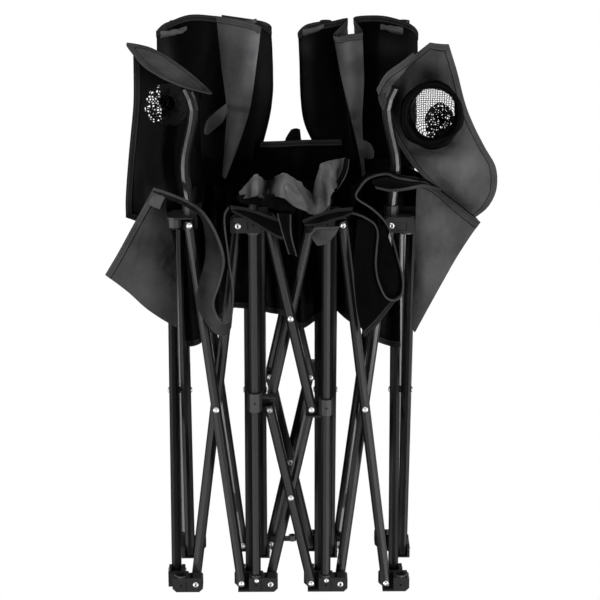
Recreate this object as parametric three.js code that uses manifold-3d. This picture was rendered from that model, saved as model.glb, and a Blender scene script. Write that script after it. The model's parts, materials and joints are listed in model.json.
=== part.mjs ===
// A folding camping loveseat, standing almost folded, with its cloth hanging from the frame.
// Millimetres and degrees, +Z up. The chair looks towards -Y, and the ground is z = 0. Everything is
// laid out about the middle of the frame, and moved to the middle of the whole footprint at the end.
// Eight upright columns stand in two rows of four. Crossed tubes join each column to the next one
// in its row and to its partner in the other row, so the columns stay upright as the chair opens.
import * as THREE from "three";
import { mergeVertices } from "three/addons/utils/BufferGeometryUtils.js";
import Module from "manifold-3d";

const wasm = await Module();
wasm.setup();

// Driving dimensions of the folding frame.
const STRUT_LENGTH = 600; // pivot to pivot
const REST_LEAN_DEG = 6.97; // lean of the long struts from upright, as the chair stands here
const MIDDLE_WIDTH = 64.5; // pivot to pivot across the middle section, as it stands here
const TUBE_RADIUS = 8;
const TUBE_WALL = 1.2;
const LAYER_GAP = 2.6; // between two tubes that cross
const PIVOT_REACH = 23.15; // from a column's axis to the pivots at its left and right
const SIDE_PIVOT_REACH = 32.5; // from the middle of a row to the pivot of its side struts
const STRUT_END = 6; // tube beyond its last pivot
const SHORT_STRUT_END = 2; // the same where the end has no pin and needs room

// Rivets.
const PIN_RADIUS = 2.6;
const PIN_CLEARANCE = 0.5;
const HEAD_RADIUS = 4.6;
const HEAD_HEIGHT = 1.5;
const HEAD_TOP_SHARE = 0.6;
const SPACER_RADIUS = 5.5;

// Clearance between pieces that touch, and how far a cut runs past the face it opens.
const TOUCH = 0.3;
const OVERRUN = 5;

// Moulded hubs. One moulding is a foot one way up and an upper hub the other way up.
const HUB_DROP = 13; // from the pivots to the foot's underside
const HUB_RISE = 11; // from the pivots to the top of the ears
const HUB_FLOOR = 2.4;
const HUB_END_REACH = 11.5; // from a pivot to the end of its ear
const HUB_CHAMFER = 6;
const EASE_SHARE = 1 / 3; // of the chamfer, at the small corners
const EAR_THICKNESS = 8;
const SOCKET_WALL = 2.8;
const SOCKET_CLEARANCE = 0.4;
const SOCKET_RISE = 3;
const SOCKET_FLOOR = 3;
const LUG_RADIUS = 9.5;
const LUG_THICKNESS = 5.5;
const CHEEK_THICKNESS = 3.6;
const SCREW_RADIUS = 1.8;
const SCREW_DEPTH = 2;
const SCREW_DROP = 1.5;
const RIB_WIDTH = 1.8;
const GROOVE_DEPTH = 0.9;
const CORE_WALL = 2.6;
const CORE_DEPTH = 8;
const PANEL_WIDTH = 17;
const PANEL_HEIGHT = 13;
const PANEL_DEPTH = 1.2;
const CUP_DEPTH = 15.5; // closed socket of the outer upper hubs
const CUP_DOME = 4;
const CUP_TOP_SHARE = 0.7;

// Sliders on the posts of the middle section.
const SLIDER_WALL = 3.6;
const SLIDER_CLEARANCE = 0.6;
const SLIDER_SHELF = 3;
const SLIDER_END_REACH = 9;
const SLIDER_HIGH = { low: -3, high: 27, shelf: 17 };
const SLIDER_LOW = { low: -17, high: 9, shelf: 11.5 };

// Posts.
const INNER_POST_RISE = 27.4; // above the upper hubs
const BACK_POST_RISE = 263.4;
const CAP_RADIUS = 9.4;
const CAP_HEIGHT = 7;
const ARM_SEAT_RADIUS = 11;
const ARM_SEAT_HEIGHT = 14;
const ARM_SEAT_DEPTH = 9;
const ARM_SEAT_CLEARANCE = 1;
const ARM_POST_HEIGHT = 188;
const ARM_POST_SWAY = 8.5;
const ARM_POST_SWAY_SHARES = [0, -0.24, -0.7, -0.65, 0, 0.7, 0.95, -0.3]; // inwards, at even heights

// Open ring on a bracket of the rear inner left foot.
const BRACKET_REACH = 30.5;
const BRACKET_BAR = 6;
const BRACKET_RING_RADIUS = 6.5;
const BRACKET_BORE_RADIUS = 4.2;
const BRACKET_RING_LOW = 3;
const BRACKET_RING_HIGH = 12;

// Cloth, doubled and hemmed.
const CLOTH = 4.5;
const BACK_SPAN = 200;
const BAND_SPAN = 60;
const ARMREST_SPAN = 200;
const CONSOLE_SPAN = 80;
const SEAT_SPAN = 150;
const SEAT_REAR_SPAN = 80;
const FLAP_SPAN = 100;
const CUP_HOLDER = { outwards: 34.5, behind: 6.9, below: 40.5, rim: 6, radius: 45, depth: 32 };
// Each piece is one or more sheets, and each sheet runs through two or more edges. The points of an
// edge are [x, y, z] from its column, its row and the level, as shares of the piece's span.
const CLOTH_PIECES = {
  // Back panels, in front of the rear posts. Their folds stand forward.
  back_panel_left: [
    {
      level: "back_post",
      span: BACK_SPAN,
      edges: [
        {
          column: "outer_left",
          row: "rear",
          shares: [
            [-0.152, -0.018, 0.02], [-0.157, -0.018, -0.315], [-0.162, -0.018, -0.64],
            [-0.167, -0.018, -0.91], [-0.167, -0.018, -1.15],
          ],
        },
        {
          column: "outer_left",
          row: "rear",
          shares: [
            [-0.067, -0.015, 0.02], [-0.067, -0.015, -0.315], [-0.072, -0.015, -0.64],
            [-0.077, -0.015, -0.91], [-0.077, -0.015, -1.15],
          ],
        },
        {
          column: "outer_left",
          row: "rear",
          shares: [
            [0.073, -0.015, 0.02], [0.083, -0.015, -0.315], [0.083, -0.015, -0.64],
            [0.073, -0.015, -0.91], [0.063, -0.02, -1.15],
          ],
        },
        {
          column: "outer_left",
          row: "rear",
          shares: [
            [0.308, -0.025, 0.02], [0.333, -0.035, -0.315], [0.368, -0.055, -0.64],
            [0.358, -0.065, -0.91], [0.343, -0.07, -1.15],
          ],
        },
        {
          column: "inner_left",
          row: "rear",
          shares: [
            [-0.113, -0.09, 0.02], [-0.123, -0.095, -0.315], [-0.133, -0.105, -0.64],
            [-0.178, -0.115, -0.91], [-0.233, -0.11, -1.15],
          ],
        },
        {
          column: "inner_left",
          row: "rear",
          shares: [
            [0.047, -0.165, 0.02], [0.017, -0.165, -0.315], [-0.033, -0.165, -0.64],
            [-0.113, -0.16, -0.91], [-0.203, -0.14, -1.15],
          ],
        },
        {
          column: "inner_left",
          row: "rear",
          shares: [
            [0.087, -0.095, 0.02], [0.067, -0.095, -0.315], [0.037, -0.105, -0.64],
            [-0.053, -0.115, -0.91], [-0.143, -0.115, -1.15],
          ],
        },
        {
          column: "inner_left",
          row: "rear",
          shares: [
            [0.132, -0.005, 0.02], [0.137, -0.015, -0.315], [0.127, -0.035, -0.64],
            [0.037, -0.075, -0.91], [-0.063, -0.075, -1.15],
          ],
        },
      ],
      folds: 0.5,
      foldShare: 0,
      across: 14,
      along: 6,
    },
  ],
  back_panel_right: [
    {
      level: "back_post",
      span: BACK_SPAN,
      edges: [
        {
          column: "inner_right",
          row: "rear",
          shares: [
            [-0.207, -0.005, 0.005], [-0.202, 0.005, -0.315], [-0.187, -0.005, -0.64],
            [-0.107, -0.065, -0.91], [0.033, -0.07, -1.15],
          ],
        },
        {
          column: "inner_right",
          row: "rear",
          shares: [
            [-0.117, -0.018, 0.005], [-0.117, -0.015, -0.315], [-0.107, -0.025, -0.64],
            [-0.037, -0.075, -0.91], [0.073, -0.075, -1.15],
          ],
        },
        {
          column: "inner_right",
          row: "rear",
          shares: [
            [0.023, -0.018, 0.005], [0.028, -0.02, -0.315], [0.043, -0.03, -0.64],
            [0.093, -0.07, -0.91], [0.163, -0.07, -1.15],
          ],
        },
        {
          column: "inner_right",
          row: "rear",
          shares: [
            [0.083, -0.085, 0.005], [0.098, -0.085, -0.315], [0.143, -0.085, -0.64],
            [0.193, -0.085, -0.91], [0.233, -0.075, -1.15],
          ],
        },
        {
          column: "inner_right",
          row: "rear",
          shares: [
            [0.123, -0.14, 0.005], [0.138, -0.135, -0.315], [0.178, -0.13, -0.64],
            [0.233, -0.115, -0.91], [0.273, -0.09, -1.15],
          ],
        },
        {
          column: "inner_right",
          row: "rear",
          shares: [
            [0.253, -0.12, 0.005], [0.263, -0.12, -0.315], [0.268, -0.12, -0.64],
            [0.278, -0.11, -0.91], [0.298, -0.09, -1.15],
          ],
        },
        {
          column: "outer_right",
          row: "rear",
          shares: [
            [-0.293, -0.035, 0.005], [-0.293, -0.035, -0.315], [-0.293, -0.045, -0.64],
            [-0.283, -0.055, -0.91], [-0.273, -0.055, -1.15],
          ],
        },
        {
          column: "outer_right",
          row: "rear",
          shares: [
            [-0.203, -0.005, 0.005], [-0.203, -0.005, -0.315], [-0.203, -0.005, -0.64],
            [-0.193, -0.015, -0.91], [-0.193, -0.015, -1.15],
          ],
        },
        {
          column: "outer_right",
          row: "rear",
          shares: [
            [-0.093, -0.015, 0.005], [-0.093, -0.015, -0.315], [-0.093, -0.015, -0.64],
            [-0.093, -0.015, -0.91], [-0.093, -0.015, -1.15],
          ],
        },
        {
          column: "outer_right",
          row: "rear",
          shares: [
            [0.062, -0.015, 0.005], [0.062, -0.015, -0.315], [0.062, -0.015, -0.64],
            [0.062, -0.015, -0.91], [0.062, -0.015, -1.15],
          ],
        },
        {
          column: "outer_right",
          row: "rear",
          shares: [
            [0.102, -0.018, 0.005], [0.102, -0.018, -0.315], [0.102, -0.018, -0.64],
            [0.102, -0.018, -0.91], [0.102, -0.018, -1.15],
          ],
        },
      ],
      folds: 0.5,
      foldShare: 0,
      across: 20,
      along: 6,
    },
  ],
  back_band: [
    {
      level: "hub",
      span: BAND_SPAN,
      edges: [
        {
          column: "inner_left",
          row: "rear",
          shares: [
            [-0.043, -0.027, 1.357], [-0.043, -0.027, 0.841], [-0.043, -0.027, 0.391],
          ],
        },
        {
          column: "inner_right",
          row: "rear",
          shares: [
            [0.043, -0.027, 1.357], [0.043, -0.027, 0.841], [0.043, -0.027, 0.391],
          ],
        },
      ],
      folds: 2,
      foldShare: -0.083,
      phase: 0.25,
      across: 8,
      along: 2,
    },
  ],
  // Armrests. The left one is seen from its end, the right one has flopped round to the front.
  armrest_left: [
    {
      level: "arm_post",
      span: ARMREST_SPAN,
      edges: [
        {
          column: "outer_left",
          row: "front",
          shares: [
            [-0.317, -0.045, 0.338], [-0.152, 0.085, 0.268], [0.013, 0.105, 0.158],
            [0.133, 0.095, 0.068], [0.293, -0.055, -0.027],
          ],
        },
        {
          column: "outer_left",
          row: "front",
          shares: [
            [-0.317, -0.05, 0.333], [-0.152, -0.045, 0.233], [0.013, -0.035, 0.118],
            [0.133, -0.035, 0.023], [0.293, -0.055, -0.027],
          ],
        },
        {
          column: "outer_left",
          row: "front",
          shares: [
            [-0.317, -0.055, 0.328], [-0.197, -0.145, 0.208], [-0.047, -0.16, 0.103],
            [0.113, -0.155, 0.033], [0.293, -0.065, -0.027],
          ],
        },
      ],
      folds: 0.5,
      foldShare: 0,
      across: 3,
      along: 8,
    },
    {
      level: "arm_post",
      span: ARMREST_SPAN,
      edges: [
        {
          column: "outer_left",
          row: "front",
          shares: [
            [-0.272, 0.035, 0.263], [-0.282, 0.015, -0.102], [-0.322, 0.005, -0.482],
            [-0.357, -0.005, -0.802], [-0.357, -0.005, -0.947],
          ],
        },
        {
          column: "outer_left",
          row: "front",
          shares: [
            [-0.152, 0.085, 0.268], [-0.152, 0.075, -0.102], [-0.177, 0.065, -0.502],
            [-0.197, 0.055, -0.802], [-0.207, 0.045, -0.877],
          ],
        },
        {
          column: "outer_left",
          row: "front",
          shares: [
            [0.013, 0.105, 0.158], [-0.017, 0.115, -0.127], [-0.027, 0.115, -0.517],
            [-0.037, 0.105, -0.802], [-0.047, 0.105, -0.852],
          ],
        },
        {
          column: "outer_left",
          row: "front",
          shares: [
            [0.133, 0.095, 0.068], [0.123, 0.145, -0.227], [0.123, 0.145, -0.517],
            [0.113, 0.145, -0.802], [0.113, 0.145, -0.852],
          ],
        },
        {
          column: "outer_left",
          row: "front",
          shares: [
            [0.223, 0.065, 0.003], [0.203, 0.145, -0.252], [0.203, 0.155, -0.527],
            [0.203, 0.155, -0.802], [0.203, 0.155, -0.852],
          ],
        },
      ],
      folds: 0.5,
      foldShare: 0,
      across: 6,
      along: 8,
    },
  ],
  armrest_right: [
    {
      level: "arm_post",
      span: ARMREST_SPAN,
      edges: [
        {
          column: "outer_right",
          row: "front",
          shares: [
            [0.152, 0.035, 0.328], [-0.028, 0.045, 0.183], [-0.163, 0.058, 0.063],
            [-0.213, 0.063, -0.062], [-0.178, 0.06, -0.217], [-0.113, 0.06, -0.387],
            [-0.013, 0.06, -0.547], [0.137, 0.06, -0.707], [0.307, 0.055, -0.857],
            [0.467, 0.055, -0.997],
          ],
        },
        {
          column: "outer_right",
          row: "front",
          shares: [
            [0.227, 0.03, 0.318], [0.167, 0.03, 0.153], [0.107, 0.04, 0.023],
            [0.077, 0.042, -0.102], [0.107, 0.035, -0.227], [0.187, 0.035, -0.367],
            [0.297, 0.035, -0.527], [0.407, 0.04, -0.677], [0.482, 0.045, -0.827],
            [0.507, 0.05, -0.977],
          ],
        },
        {
          column: "outer_right",
          row: "front",
          shares: [
            [0.292, 0.045, 0.313], [0.362, 0.045, 0.113], [0.407, 0.045, -0.067],
            [0.467, 0.05, -0.217], [0.537, 0.055, -0.367], [0.627, 0.06, -0.527],
            [0.677, 0.065, -0.697], [0.667, 0.065, -0.827], [0.622, 0.065, -0.927],
            [0.547, 0.06, -1.007],
          ],
        },
      ],
      folds: 0.5,
      foldShare: 0,
      across: 6,
      along: 12,
    },
  ],
  // Crumpled cloth over the two front posts between the seats.
  centre_console: [
    {
      level: "inner_post",
      span: CONSOLE_SPAN,
      edges: [
        {
          column: "inner_left",
          row: "front",
          shares: [
            [-0.258, -0.714, 0.013], [-0.283, -0.614, 0.438], [-0.233, -0.439, 0.613],
            [-0.183, -0.239, 0.438], [-0.208, -0.064, 0.024], [-0.208, 0.136, 0.088],
          ],
        },
        {
          column: "inner_right",
          row: "front",
          shares: [
            [0.083, -0.739, -0.012], [0.058, -0.639, 0.488], [0.058, -0.439, 0.638],
            [0.058, -0.239, 0.463], [0.108, -0.064, 0.024], [0.083, 0.161, 0.113],
          ],
        },
      ],
      folds: 2.5,
      foldShare: 0.113,
      phase: -0.125,
      across: 14,
      along: 8,
    },
  ],
  // Seats, over the front upper hubs: a loop in front, and folds hanging between the two rows.
  seat_left: [
    {
      level: "hub",
      span: SEAT_SPAN,
      edges: [
        {
          column: "inner_left",
          row: "front",
          shares: [
            [-0.351, -0.234, -1.024], [-0.437, -0.194, -0.677], [-0.484, -0.161, -0.21],
            [-0.997, -0.155, 0.07], [-1.071, -0.155, 0.203],
          ],
        },
        {
          column: "inner_left",
          row: "front",
          shares: [
            [-0.284, -0.234, -0.997], [-0.231, -0.194, -0.677], [-0.217, -0.161, -0.21],
            [-0.244, -0.155, 0.07], [-0.244, -0.155, 0.23],
          ],
        },
      ],
      folds: 2,
      foldShare: 0.053,
      phase: 0.25,
      across: 8,
      along: 9,
    },
    {
      level: "hub",
      span: SEAT_SPAN,
      edges: [
        {
          column: "outer_left",
          row: "front",
          shares: [
            [0.257, -0.167, 0.176], [0.257, -0.074, 0.216], [0.257, 0.086, 0.176],
            [0.19, 0.179, -0.17], [0.177, 0.326, -0.81], [0.23, 0.433, -1.597],
          ],
        },
        {
          column: "inner_left",
          row: "front",
          shares: [
            [-0.244, -0.167, 0.176], [-0.244, -0.074, 0.216], [-0.257, 0.086, 0.176],
            [-0.404, 0.219, -0.17], [-0.417, 0.526, -0.81], [-0.457, 0.593, -1.664],
          ],
        },
      ],
      folds: 1,
      foldShare: 0.047,
      across: 5,
      along: 12,
    },
    {
      level: "hub",
      span: SEAT_SPAN,
      edges: [
        {
          column: "inner_left",
          row: "front",
          shares: [
            [-0.264, -0.169, 0.176], [-0.031, -0.171, 0.07], [0.303, -0.171, -0.117],
          ],
        },
        {
          column: "inner_left",
          row: "front",
          shares: [
            [-0.264, -0.169, 0.056], [-0.031, -0.171, -0.09], [0.289, -0.171, -0.277],
          ],
        },
      ],
      folds: 0.5,
      foldShare: 0,
      across: 2,
      along: 6,
    },
  ],
  seat_right: [
    {
      level: "hub",
      span: SEAT_SPAN,
      edges: [
        {
          column: "outer_right",
          row: "front",
          shares: [
            [-0.163, -0.221, -0.79], [-0.23, -0.194, -0.544], [-0.27, -0.165, -0.144],
            [-0.537, -0.164, 0.123], [-0.497, -0.167, 0.31], [-0.35, -0.167, 0.47],
          ],
        },
        {
          column: "outer_right",
          row: "front",
          shares: [
            [0.01, -0.221, -0.777], [0.05, -0.194, -0.544], [0.023, -0.165, -0.144],
            [0.237, -0.164, 0.043], [0.343, -0.164, 0.19], [0.143, -0.167, 0.483],
          ],
        },
      ],
      folds: 2,
      foldShare: 0.053,
      phase: 0.25,
      across: 8,
      along: 9,
    },
    {
      level: "hub",
      span: SEAT_SPAN,
      edges: [
        {
          column: "inner_right",
          row: "front",
          shares: [
            [0.244, -0.167, 0.176], [0.244, -0.074, 0.216], [0.257, 0.086, 0.176],
            [0.404, 0.219, -0.17], [0.417, 0.526, -0.81], [0.457, 0.593, -1.504],
          ],
        },
        {
          column: "outer_right",
          row: "front",
          shares: [
            [-0.257, -0.167, 0.176], [-0.257, -0.074, 0.216], [-0.257, 0.086, 0.176],
            [-0.19, 0.179, -0.17], [-0.177, 0.326, -0.81], [-0.23, 0.433, -1.664],
          ],
        },
      ],
      folds: 1,
      foldShare: 0.047,
      across: 5,
      along: 12,
    },
    {
      level: "hub",
      span: SEAT_SPAN,
      edges: [
        {
          column: "inner_right",
          row: "front",
          shares: [
            [-0.183, -0.171, -0.037], [0.031, -0.171, 0.096], [0.277, -0.169, 0.23],
          ],
        },
        {
          column: "inner_right",
          row: "front",
          shares: [
            [-0.169, -0.171, -0.157], [0.031, -0.171, -0.064], [0.277, -0.169, 0.07],
          ],
        },
      ],
      folds: 0.5,
      foldShare: 0,
      across: 2,
      along: 6,
    },
  ],
  // Rear of each seat, lying in folds on the hubs' lugs.
  seat_rear_left: [
    {
      level: "hub",
      span: SEAT_REAR_SPAN,
      edges: [
        {
          column: "middle_left",
          row: "front",
          shares: [
            [-0.513, 0.424, 0.025], [-0.063, 0.424, 0.055], [0.312, 0.424, 0.055],
            [0.737, 0.424, 0.025],
          ],
        },
        {
          column: "middle_left",
          row: "rear",
          shares: [
            [-0.513, -0.424, 0.025], [-0.063, -0.424, 0.055], [0.312, -0.424, 0.055],
            [0.737, -0.424, 0.025],
          ],
        },
      ],
      folds: 1.5,
      foldShare: -0.175,
      across: 10,
      along: 4,
    },
  ],
  seat_rear_right: [
    {
      level: "hub",
      span: SEAT_REAR_SPAN,
      edges: [
        {
          column: "middle_right",
          row: "front",
          shares: [
            [-0.737, 0.424, 0.025], [-0.312, 0.424, 0.055], [0.063, 0.424, 0.055],
            [0.513, 0.424, 0.025],
          ],
        },
        {
          column: "middle_right",
          row: "rear",
          shares: [
            [-0.737, -0.424, 0.025], [-0.312, -0.424, 0.055], [0.063, -0.424, 0.055],
            [0.513, -0.424, 0.025],
          ],
        },
      ],
      folds: 1.5,
      foldShare: -0.175,
      across: 10,
      along: 4,
    },
  ],
  // Flaps that hang outside the frame, under the armrests.
  side_flap_left: [
    {
      level: "hub",
      span: FLAP_SPAN,
      edges: [
        {
          column: "outer_left",
          row: "front",
          shares: [
            [-0.395, -0.192, 0.284], [-0.715, -0.151, -0.216], [-1.045, -0.091, -0.906],
            [-0.705, -0.031, -1.296], [-0.275, 0.029, -1.696],
          ],
        },
        {
          column: "outer_left",
          row: "front",
          shares: [
            [-0.235, -0.192, 0.284], [-0.225, -0.151, -0.216], [-0.225, -0.071, -0.906],
            [-0.225, -0.011, -1.296], [-0.225, 0.029, -1.656],
          ],
        },
      ],
      folds: 1,
      foldShare: 0.09,
      across: 6,
      along: 8,
    },
  ],
  side_flap_right: [
    {
      level: "hub",
      span: FLAP_SPAN,
      edges: [
        {
          column: "outer_right",
          row: "front",
          shares: [
            [0.235, -0.211, 0.284], [0.225, -0.171, -0.136], [0.225, -0.131, -0.616],
            [0.225, -0.071, -1.216], [0.225, -0.011, -1.836],
          ],
        },
        {
          column: "outer_right",
          row: "front",
          shares: [
            [0.395, -0.211, 0.284], [1.075, -0.151, -0.136], [0.875, -0.111, -0.616],
            [0.575, -0.051, -1.216], [0.315, -0.011, -1.856],
          ],
        },
      ],
      folds: 1,
      foldShare: 0.09,
      phase: 0.5,
      across: 6,
      along: 8,
    },
  ],
};

// Where the frame stands, worked out from the sizes above.
const lean = THREE.MathUtils.degToRad(REST_LEAN_DEG);
const sectionWidth = STRUT_LENGTH * Math.sin(lean);
const hubHeight = STRUT_LENGTH * Math.cos(lean);
const middleLength = Math.hypot(MIDDLE_WIDTH, hubHeight / 2);
const middleLean = Math.asin(MIDDLE_WIDTH / middleLength);
const layer = TUBE_RADIUS + LAYER_GAP / 2;
const innerColumn = MIDDLE_WIDTH / 2 + PIVOT_REACH;
const outerColumn = innerColumn + sectionWidth + 2 * PIVOT_REACH;
const rowDepth = SIDE_PIVOT_REACH + sectionWidth / 2;
const footPivot = HUB_DROP;
const upperPivot = footPivot + hubHeight;
const sliderPivot = footPivot + hubHeight / 2;
const hubTop = upperPivot + HUB_DROP;
const socketOuter = TUBE_RADIUS + SOCKET_CLEARANCE + SOCKET_WALL;
const faceNear = -(layer + socketOuter);
const faceFar = LAYER_GAP / 2 - TOUCH;
const holeRadius = PIN_RADIUS + PIN_CLEARANCE;
const columns = [-outerColumn, -innerColumn, innerColumn, outerColumn];
const innerPostTop = hubTop + INNER_POST_RISE;
const backPostTop = hubTop + BACK_POST_RISE;
const armPostFoot = hubTop + ARM_SEAT_HEIGHT - ARM_SEAT_DEPTH + 3 * TOUCH;
const armPostTop = armPostFoot + ARM_POST_HEIGHT;
const columnPlaces = {
  outer_left: -outerColumn,
  middle_left: -(outerColumn + innerColumn) / 2,
  inner_left: -innerColumn,
  inner_right: innerColumn,
  middle_right: (outerColumn + innerColumn) / 2,
  outer_right: outerColumn,
};
const rowPlaces = { front: -rowDepth, rear: rowDepth };
const levels = { hub: hubTop, inner_post: innerPostTop, back_post: backPostTop, arm_post: armPostTop };

const steel = new THREE.MeshStandardMaterial({ color: 0x2c2d2f, roughness: 0.42, metalness: 0.6 });
const plastic = new THREE.MeshStandardMaterial({ color: 0x1b1c1d, roughness: 0.5, metalness: 0 });
const polyester = new THREE.MeshStandardMaterial({ color: 0x131416, roughness: 0.75, metalness: 0 });

const TUBE_SIDES = 10;
const SOCKET_SIDES = 10;
const PIN_SIDES = 6;
const HOLE_SIDES = 6;
const HEAD_SIDES = 6;

// Solids and booleans.
function solidOf(geometry) {
  const loose = geometry.index ? geometry.toNonIndexed() : geometry;
  const bare = new THREE.BufferGeometry();
  bare.setAttribute("position", loose.getAttribute("position"));
  const merged = mergeVertices(bare, 1e-4);
  return new wasm.Manifold(
    new wasm.Mesh({
      numProp: 3,
      vertProperties: merged.attributes.position.array,
      triVerts: new Uint32Array(merged.index.array),
    }),
  );
}

function join(solids) {
  return solids.reduce((whole, next) => whole.add(next));
}

function cut(solid, tools) {
  return tools.reduce((rest, tool) => rest.subtract(tool), solid);
}

function geometryOf(solid) {
  const data = solid.getMesh();
  const geometry = new THREE.BufferGeometry();
  geometry.setAttribute("position", new THREE.BufferAttribute(new Float32Array(data.vertProperties), 3));
  geometry.setIndex(new THREE.BufferAttribute(new Uint32Array(data.triVerts), 1));
  geometry.computeVertexNormals();
  return geometry;
}

// A box between two corners.
function block(low, high) {
  const [width, depth, height] = high.map((value, i) => value - low[i]);
  const geometry = new THREE.BoxGeometry(width, depth, height);
  geometry.translate(...high.map((value, i) => (value + low[i]) / 2));
  return solidOf(geometry);
}

// A round rod along one axis (0, 1 or 2) through a point, from one place on that axis to another.
function rod(axis, through, from, to, radius, sides) {
  const geometry = new THREE.CylinderGeometry(radius, radius, to - from, sides);
  if (axis === 0) geometry.rotateZ(-Math.PI / 2);
  if (axis === 2) geometry.rotateX(Math.PI / 2);
  const centre = [...through];
  centre[axis] = (from + to) / 2;
  geometry.translate(...centre);
  return solidOf(geometry);
}

// A rivet head on a face that looks along y.
function headOn(x, base, z, outwards) {
  const geometry = new THREE.CylinderGeometry(HEAD_RADIUS * HEAD_TOP_SHARE, HEAD_RADIUS, HEAD_HEIGHT, HEAD_SIDES);
  if (outwards < 0) geometry.rotateX(Math.PI);
  geometry.translate(x, base + (outwards * HEAD_HEIGHT) / 2, z);
  return solidOf(geometry);
}

// A flat piece with an outline in x and z, between two depths in y.
function plate(points, near, far) {
  const shape = new THREE.Shape(points.map(([x, z]) => new THREE.Vector2(x, z)));
  const geometry = new THREE.ExtrudeGeometry(shape, { depth: far - near, bevelEnabled: false });
  geometry.rotateX(Math.PI / 2);
  geometry.translate(0, far, 0);
  return solidOf(geometry);
}

// A tube upright on the origin, open at both ends, with the given reach below and above its pivots.
function tube(length, lowEnd, highEnd) {
  const bore = TUBE_RADIUS - TUBE_WALL;
  const outer = rod(2, [0, 0, 0], -lowEnd, length + highEnd, TUBE_RADIUS, TUBE_SIDES);
  return outer.subtract(rod(2, [0, 0, 0], -lowEnd - OVERRUN, length + highEnd + OVERRUN, bore, TUBE_SIDES));
}

// A pin along y that starts inside the tube's wall, with a head at its end or a spacer ring where asked.
function pin(at, reach, { head = false, spacer = false } = {}) {
  const side = Math.sign(reach);
  const start = side * (TUBE_RADIUS - TUBE_WALL);
  const pieces = [rod(1, [0, 0, at], Math.min(start, reach), Math.max(start, reach), PIN_RADIUS, PIN_SIDES)];
  if (head) pieces.push(headOn(0, reach - side * TOUCH, at, side));
  if (spacer) {
    const rim = side * (TUBE_RADIUS + LAYER_GAP - TOUCH);
    pieces.push(rod(1, [0, 0, at], Math.min(start, rim), Math.max(start, rim), SPACER_RADIUS, HEAD_SIDES));
  }
  return pieces;
}

function pinHole(at) {
  const reach = TUBE_RADIUS + OVERRUN;
  return rod(1, [0, 0, at], -reach, reach, holeRadius, HOLE_SIDES);
}

const throughMate = 3 * TUBE_RADIUS + LAYER_GAP + TOUCH;
const throughEar = layer + EAR_THICKNESS - faceFar;
const throughFace = layer - faceNear + TOUCH;
const throughWeb = 2 * layer + TUBE_RADIUS + TOUCH;

// Outer-layer strut, in front of the ears. It carries the rivet of the crossing.
function outerStrut(length, { low = throughEar, high = throughEar, open = false } = {}) {
  const rivet = pin(length / 2, throughMate, { head: true, spacer: true });
  const body = tube(length, STRUT_END, open ? SHORT_STRUT_END : STRUT_END);
  if (open) return join([cut(body, [pinHole(0)]), ...rivet]);
  return join([body, ...rivet, ...pin(0, low), ...pin(length, high, { head: high > throughEar })]);
}

// Inner-layer strut, behind the faces, with a hole for the rivet of the crossing.
function innerStrut(length, { low = throughFace, high = throughFace, open = false } = {}) {
  const body = tube(length, STRUT_END, open ? SHORT_STRUT_END : STRUT_END);
  if (open) return cut(body, [pinHole(0), pinHole(length / 2)]);
  const ends = [...pin(0, -low, { head: true }), ...pin(length, -high, { head: high >= throughFace })];
  return join([cut(body, [pinHole(length / 2)]), ...ends]);
}

// Side struts lean in the y-z plane. They are built like the others and then turned about z.
function sideStrut(carriesRivet) {
  const ends = [0, STRUT_LENGTH].flatMap((at) => [
    ...pin(at, TUBE_RADIUS + TOUCH + LUG_THICKNESS),
    ...pin(at, -(TUBE_RADIUS + TOUCH + CHEEK_THICKNESS)),
  ]);
  const body = tube(STRUT_LENGTH, STRUT_END, STRUT_END);
  if (!carriesRivet) return join([cut(body, [pinHole(STRUT_LENGTH / 2)]), ...ends]);
  const rivet = pin(STRUT_LENGTH / 2, throughMate, { head: true, spacer: true });
  return join([body, ...ends, ...rivet]);
}

// The outline in x and z of a foot's face or ear, chamfered at the ends that stand free.
function faceOutline(left, right, chamferLeft, chamferRight) {
  const bottom = -HUB_DROP;
  const ease = HUB_CHAMFER * EASE_SHARE;
  const points = [];
  if (chamferLeft) points.push([left, bottom + HUB_CHAMFER], [left + HUB_CHAMFER, bottom]);
  else points.push([left, bottom]);
  if (chamferRight) points.push([right - HUB_CHAMFER, bottom], [right, bottom + HUB_CHAMFER]);
  else points.push([right, bottom]);
  if (chamferRight) points.push([right, HUB_RISE - ease], [right - ease, HUB_RISE]);
  else points.push([right, HUB_RISE]);
  if (chamferLeft) points.push([left + ease, HUB_RISE], [left, HUB_RISE - ease]);
  else points.push([left, HUB_RISE]);
  return points;
}

// A lug in the y-z plane that reaches back to the side pivot, between two places in x.
function lug(left, right) {
  const shape = new THREE.Shape();
  shape.moveTo(0, -HUB_DROP);
  shape.lineTo(SIDE_PIVOT_REACH + LUG_RADIUS / 2, -HUB_DROP);
  shape.lineTo(SIDE_PIVOT_REACH + LUG_RADIUS, -HUB_DROP + LUG_RADIUS / 2);
  shape.absarc(SIDE_PIVOT_REACH, 0, LUG_RADIUS, 0, Math.PI / 2, false);
  shape.lineTo(0, LUG_RADIUS);
  const geometry = new THREE.ExtrudeGeometry(shape, {
    depth: right - left,
    bevelEnabled: false,
    curveSegments: 2,
  });
  geometry.applyMatrix4(
    new THREE.Matrix4().makeBasis(
      new THREE.Vector3(0, 1, 0),
      new THREE.Vector3(0, 0, 1),
      new THREE.Vector3(1, 0, 0),
    ),
  );
  geometry.translate(left, 0, 0);
  return solidOf(geometry);
}

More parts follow.
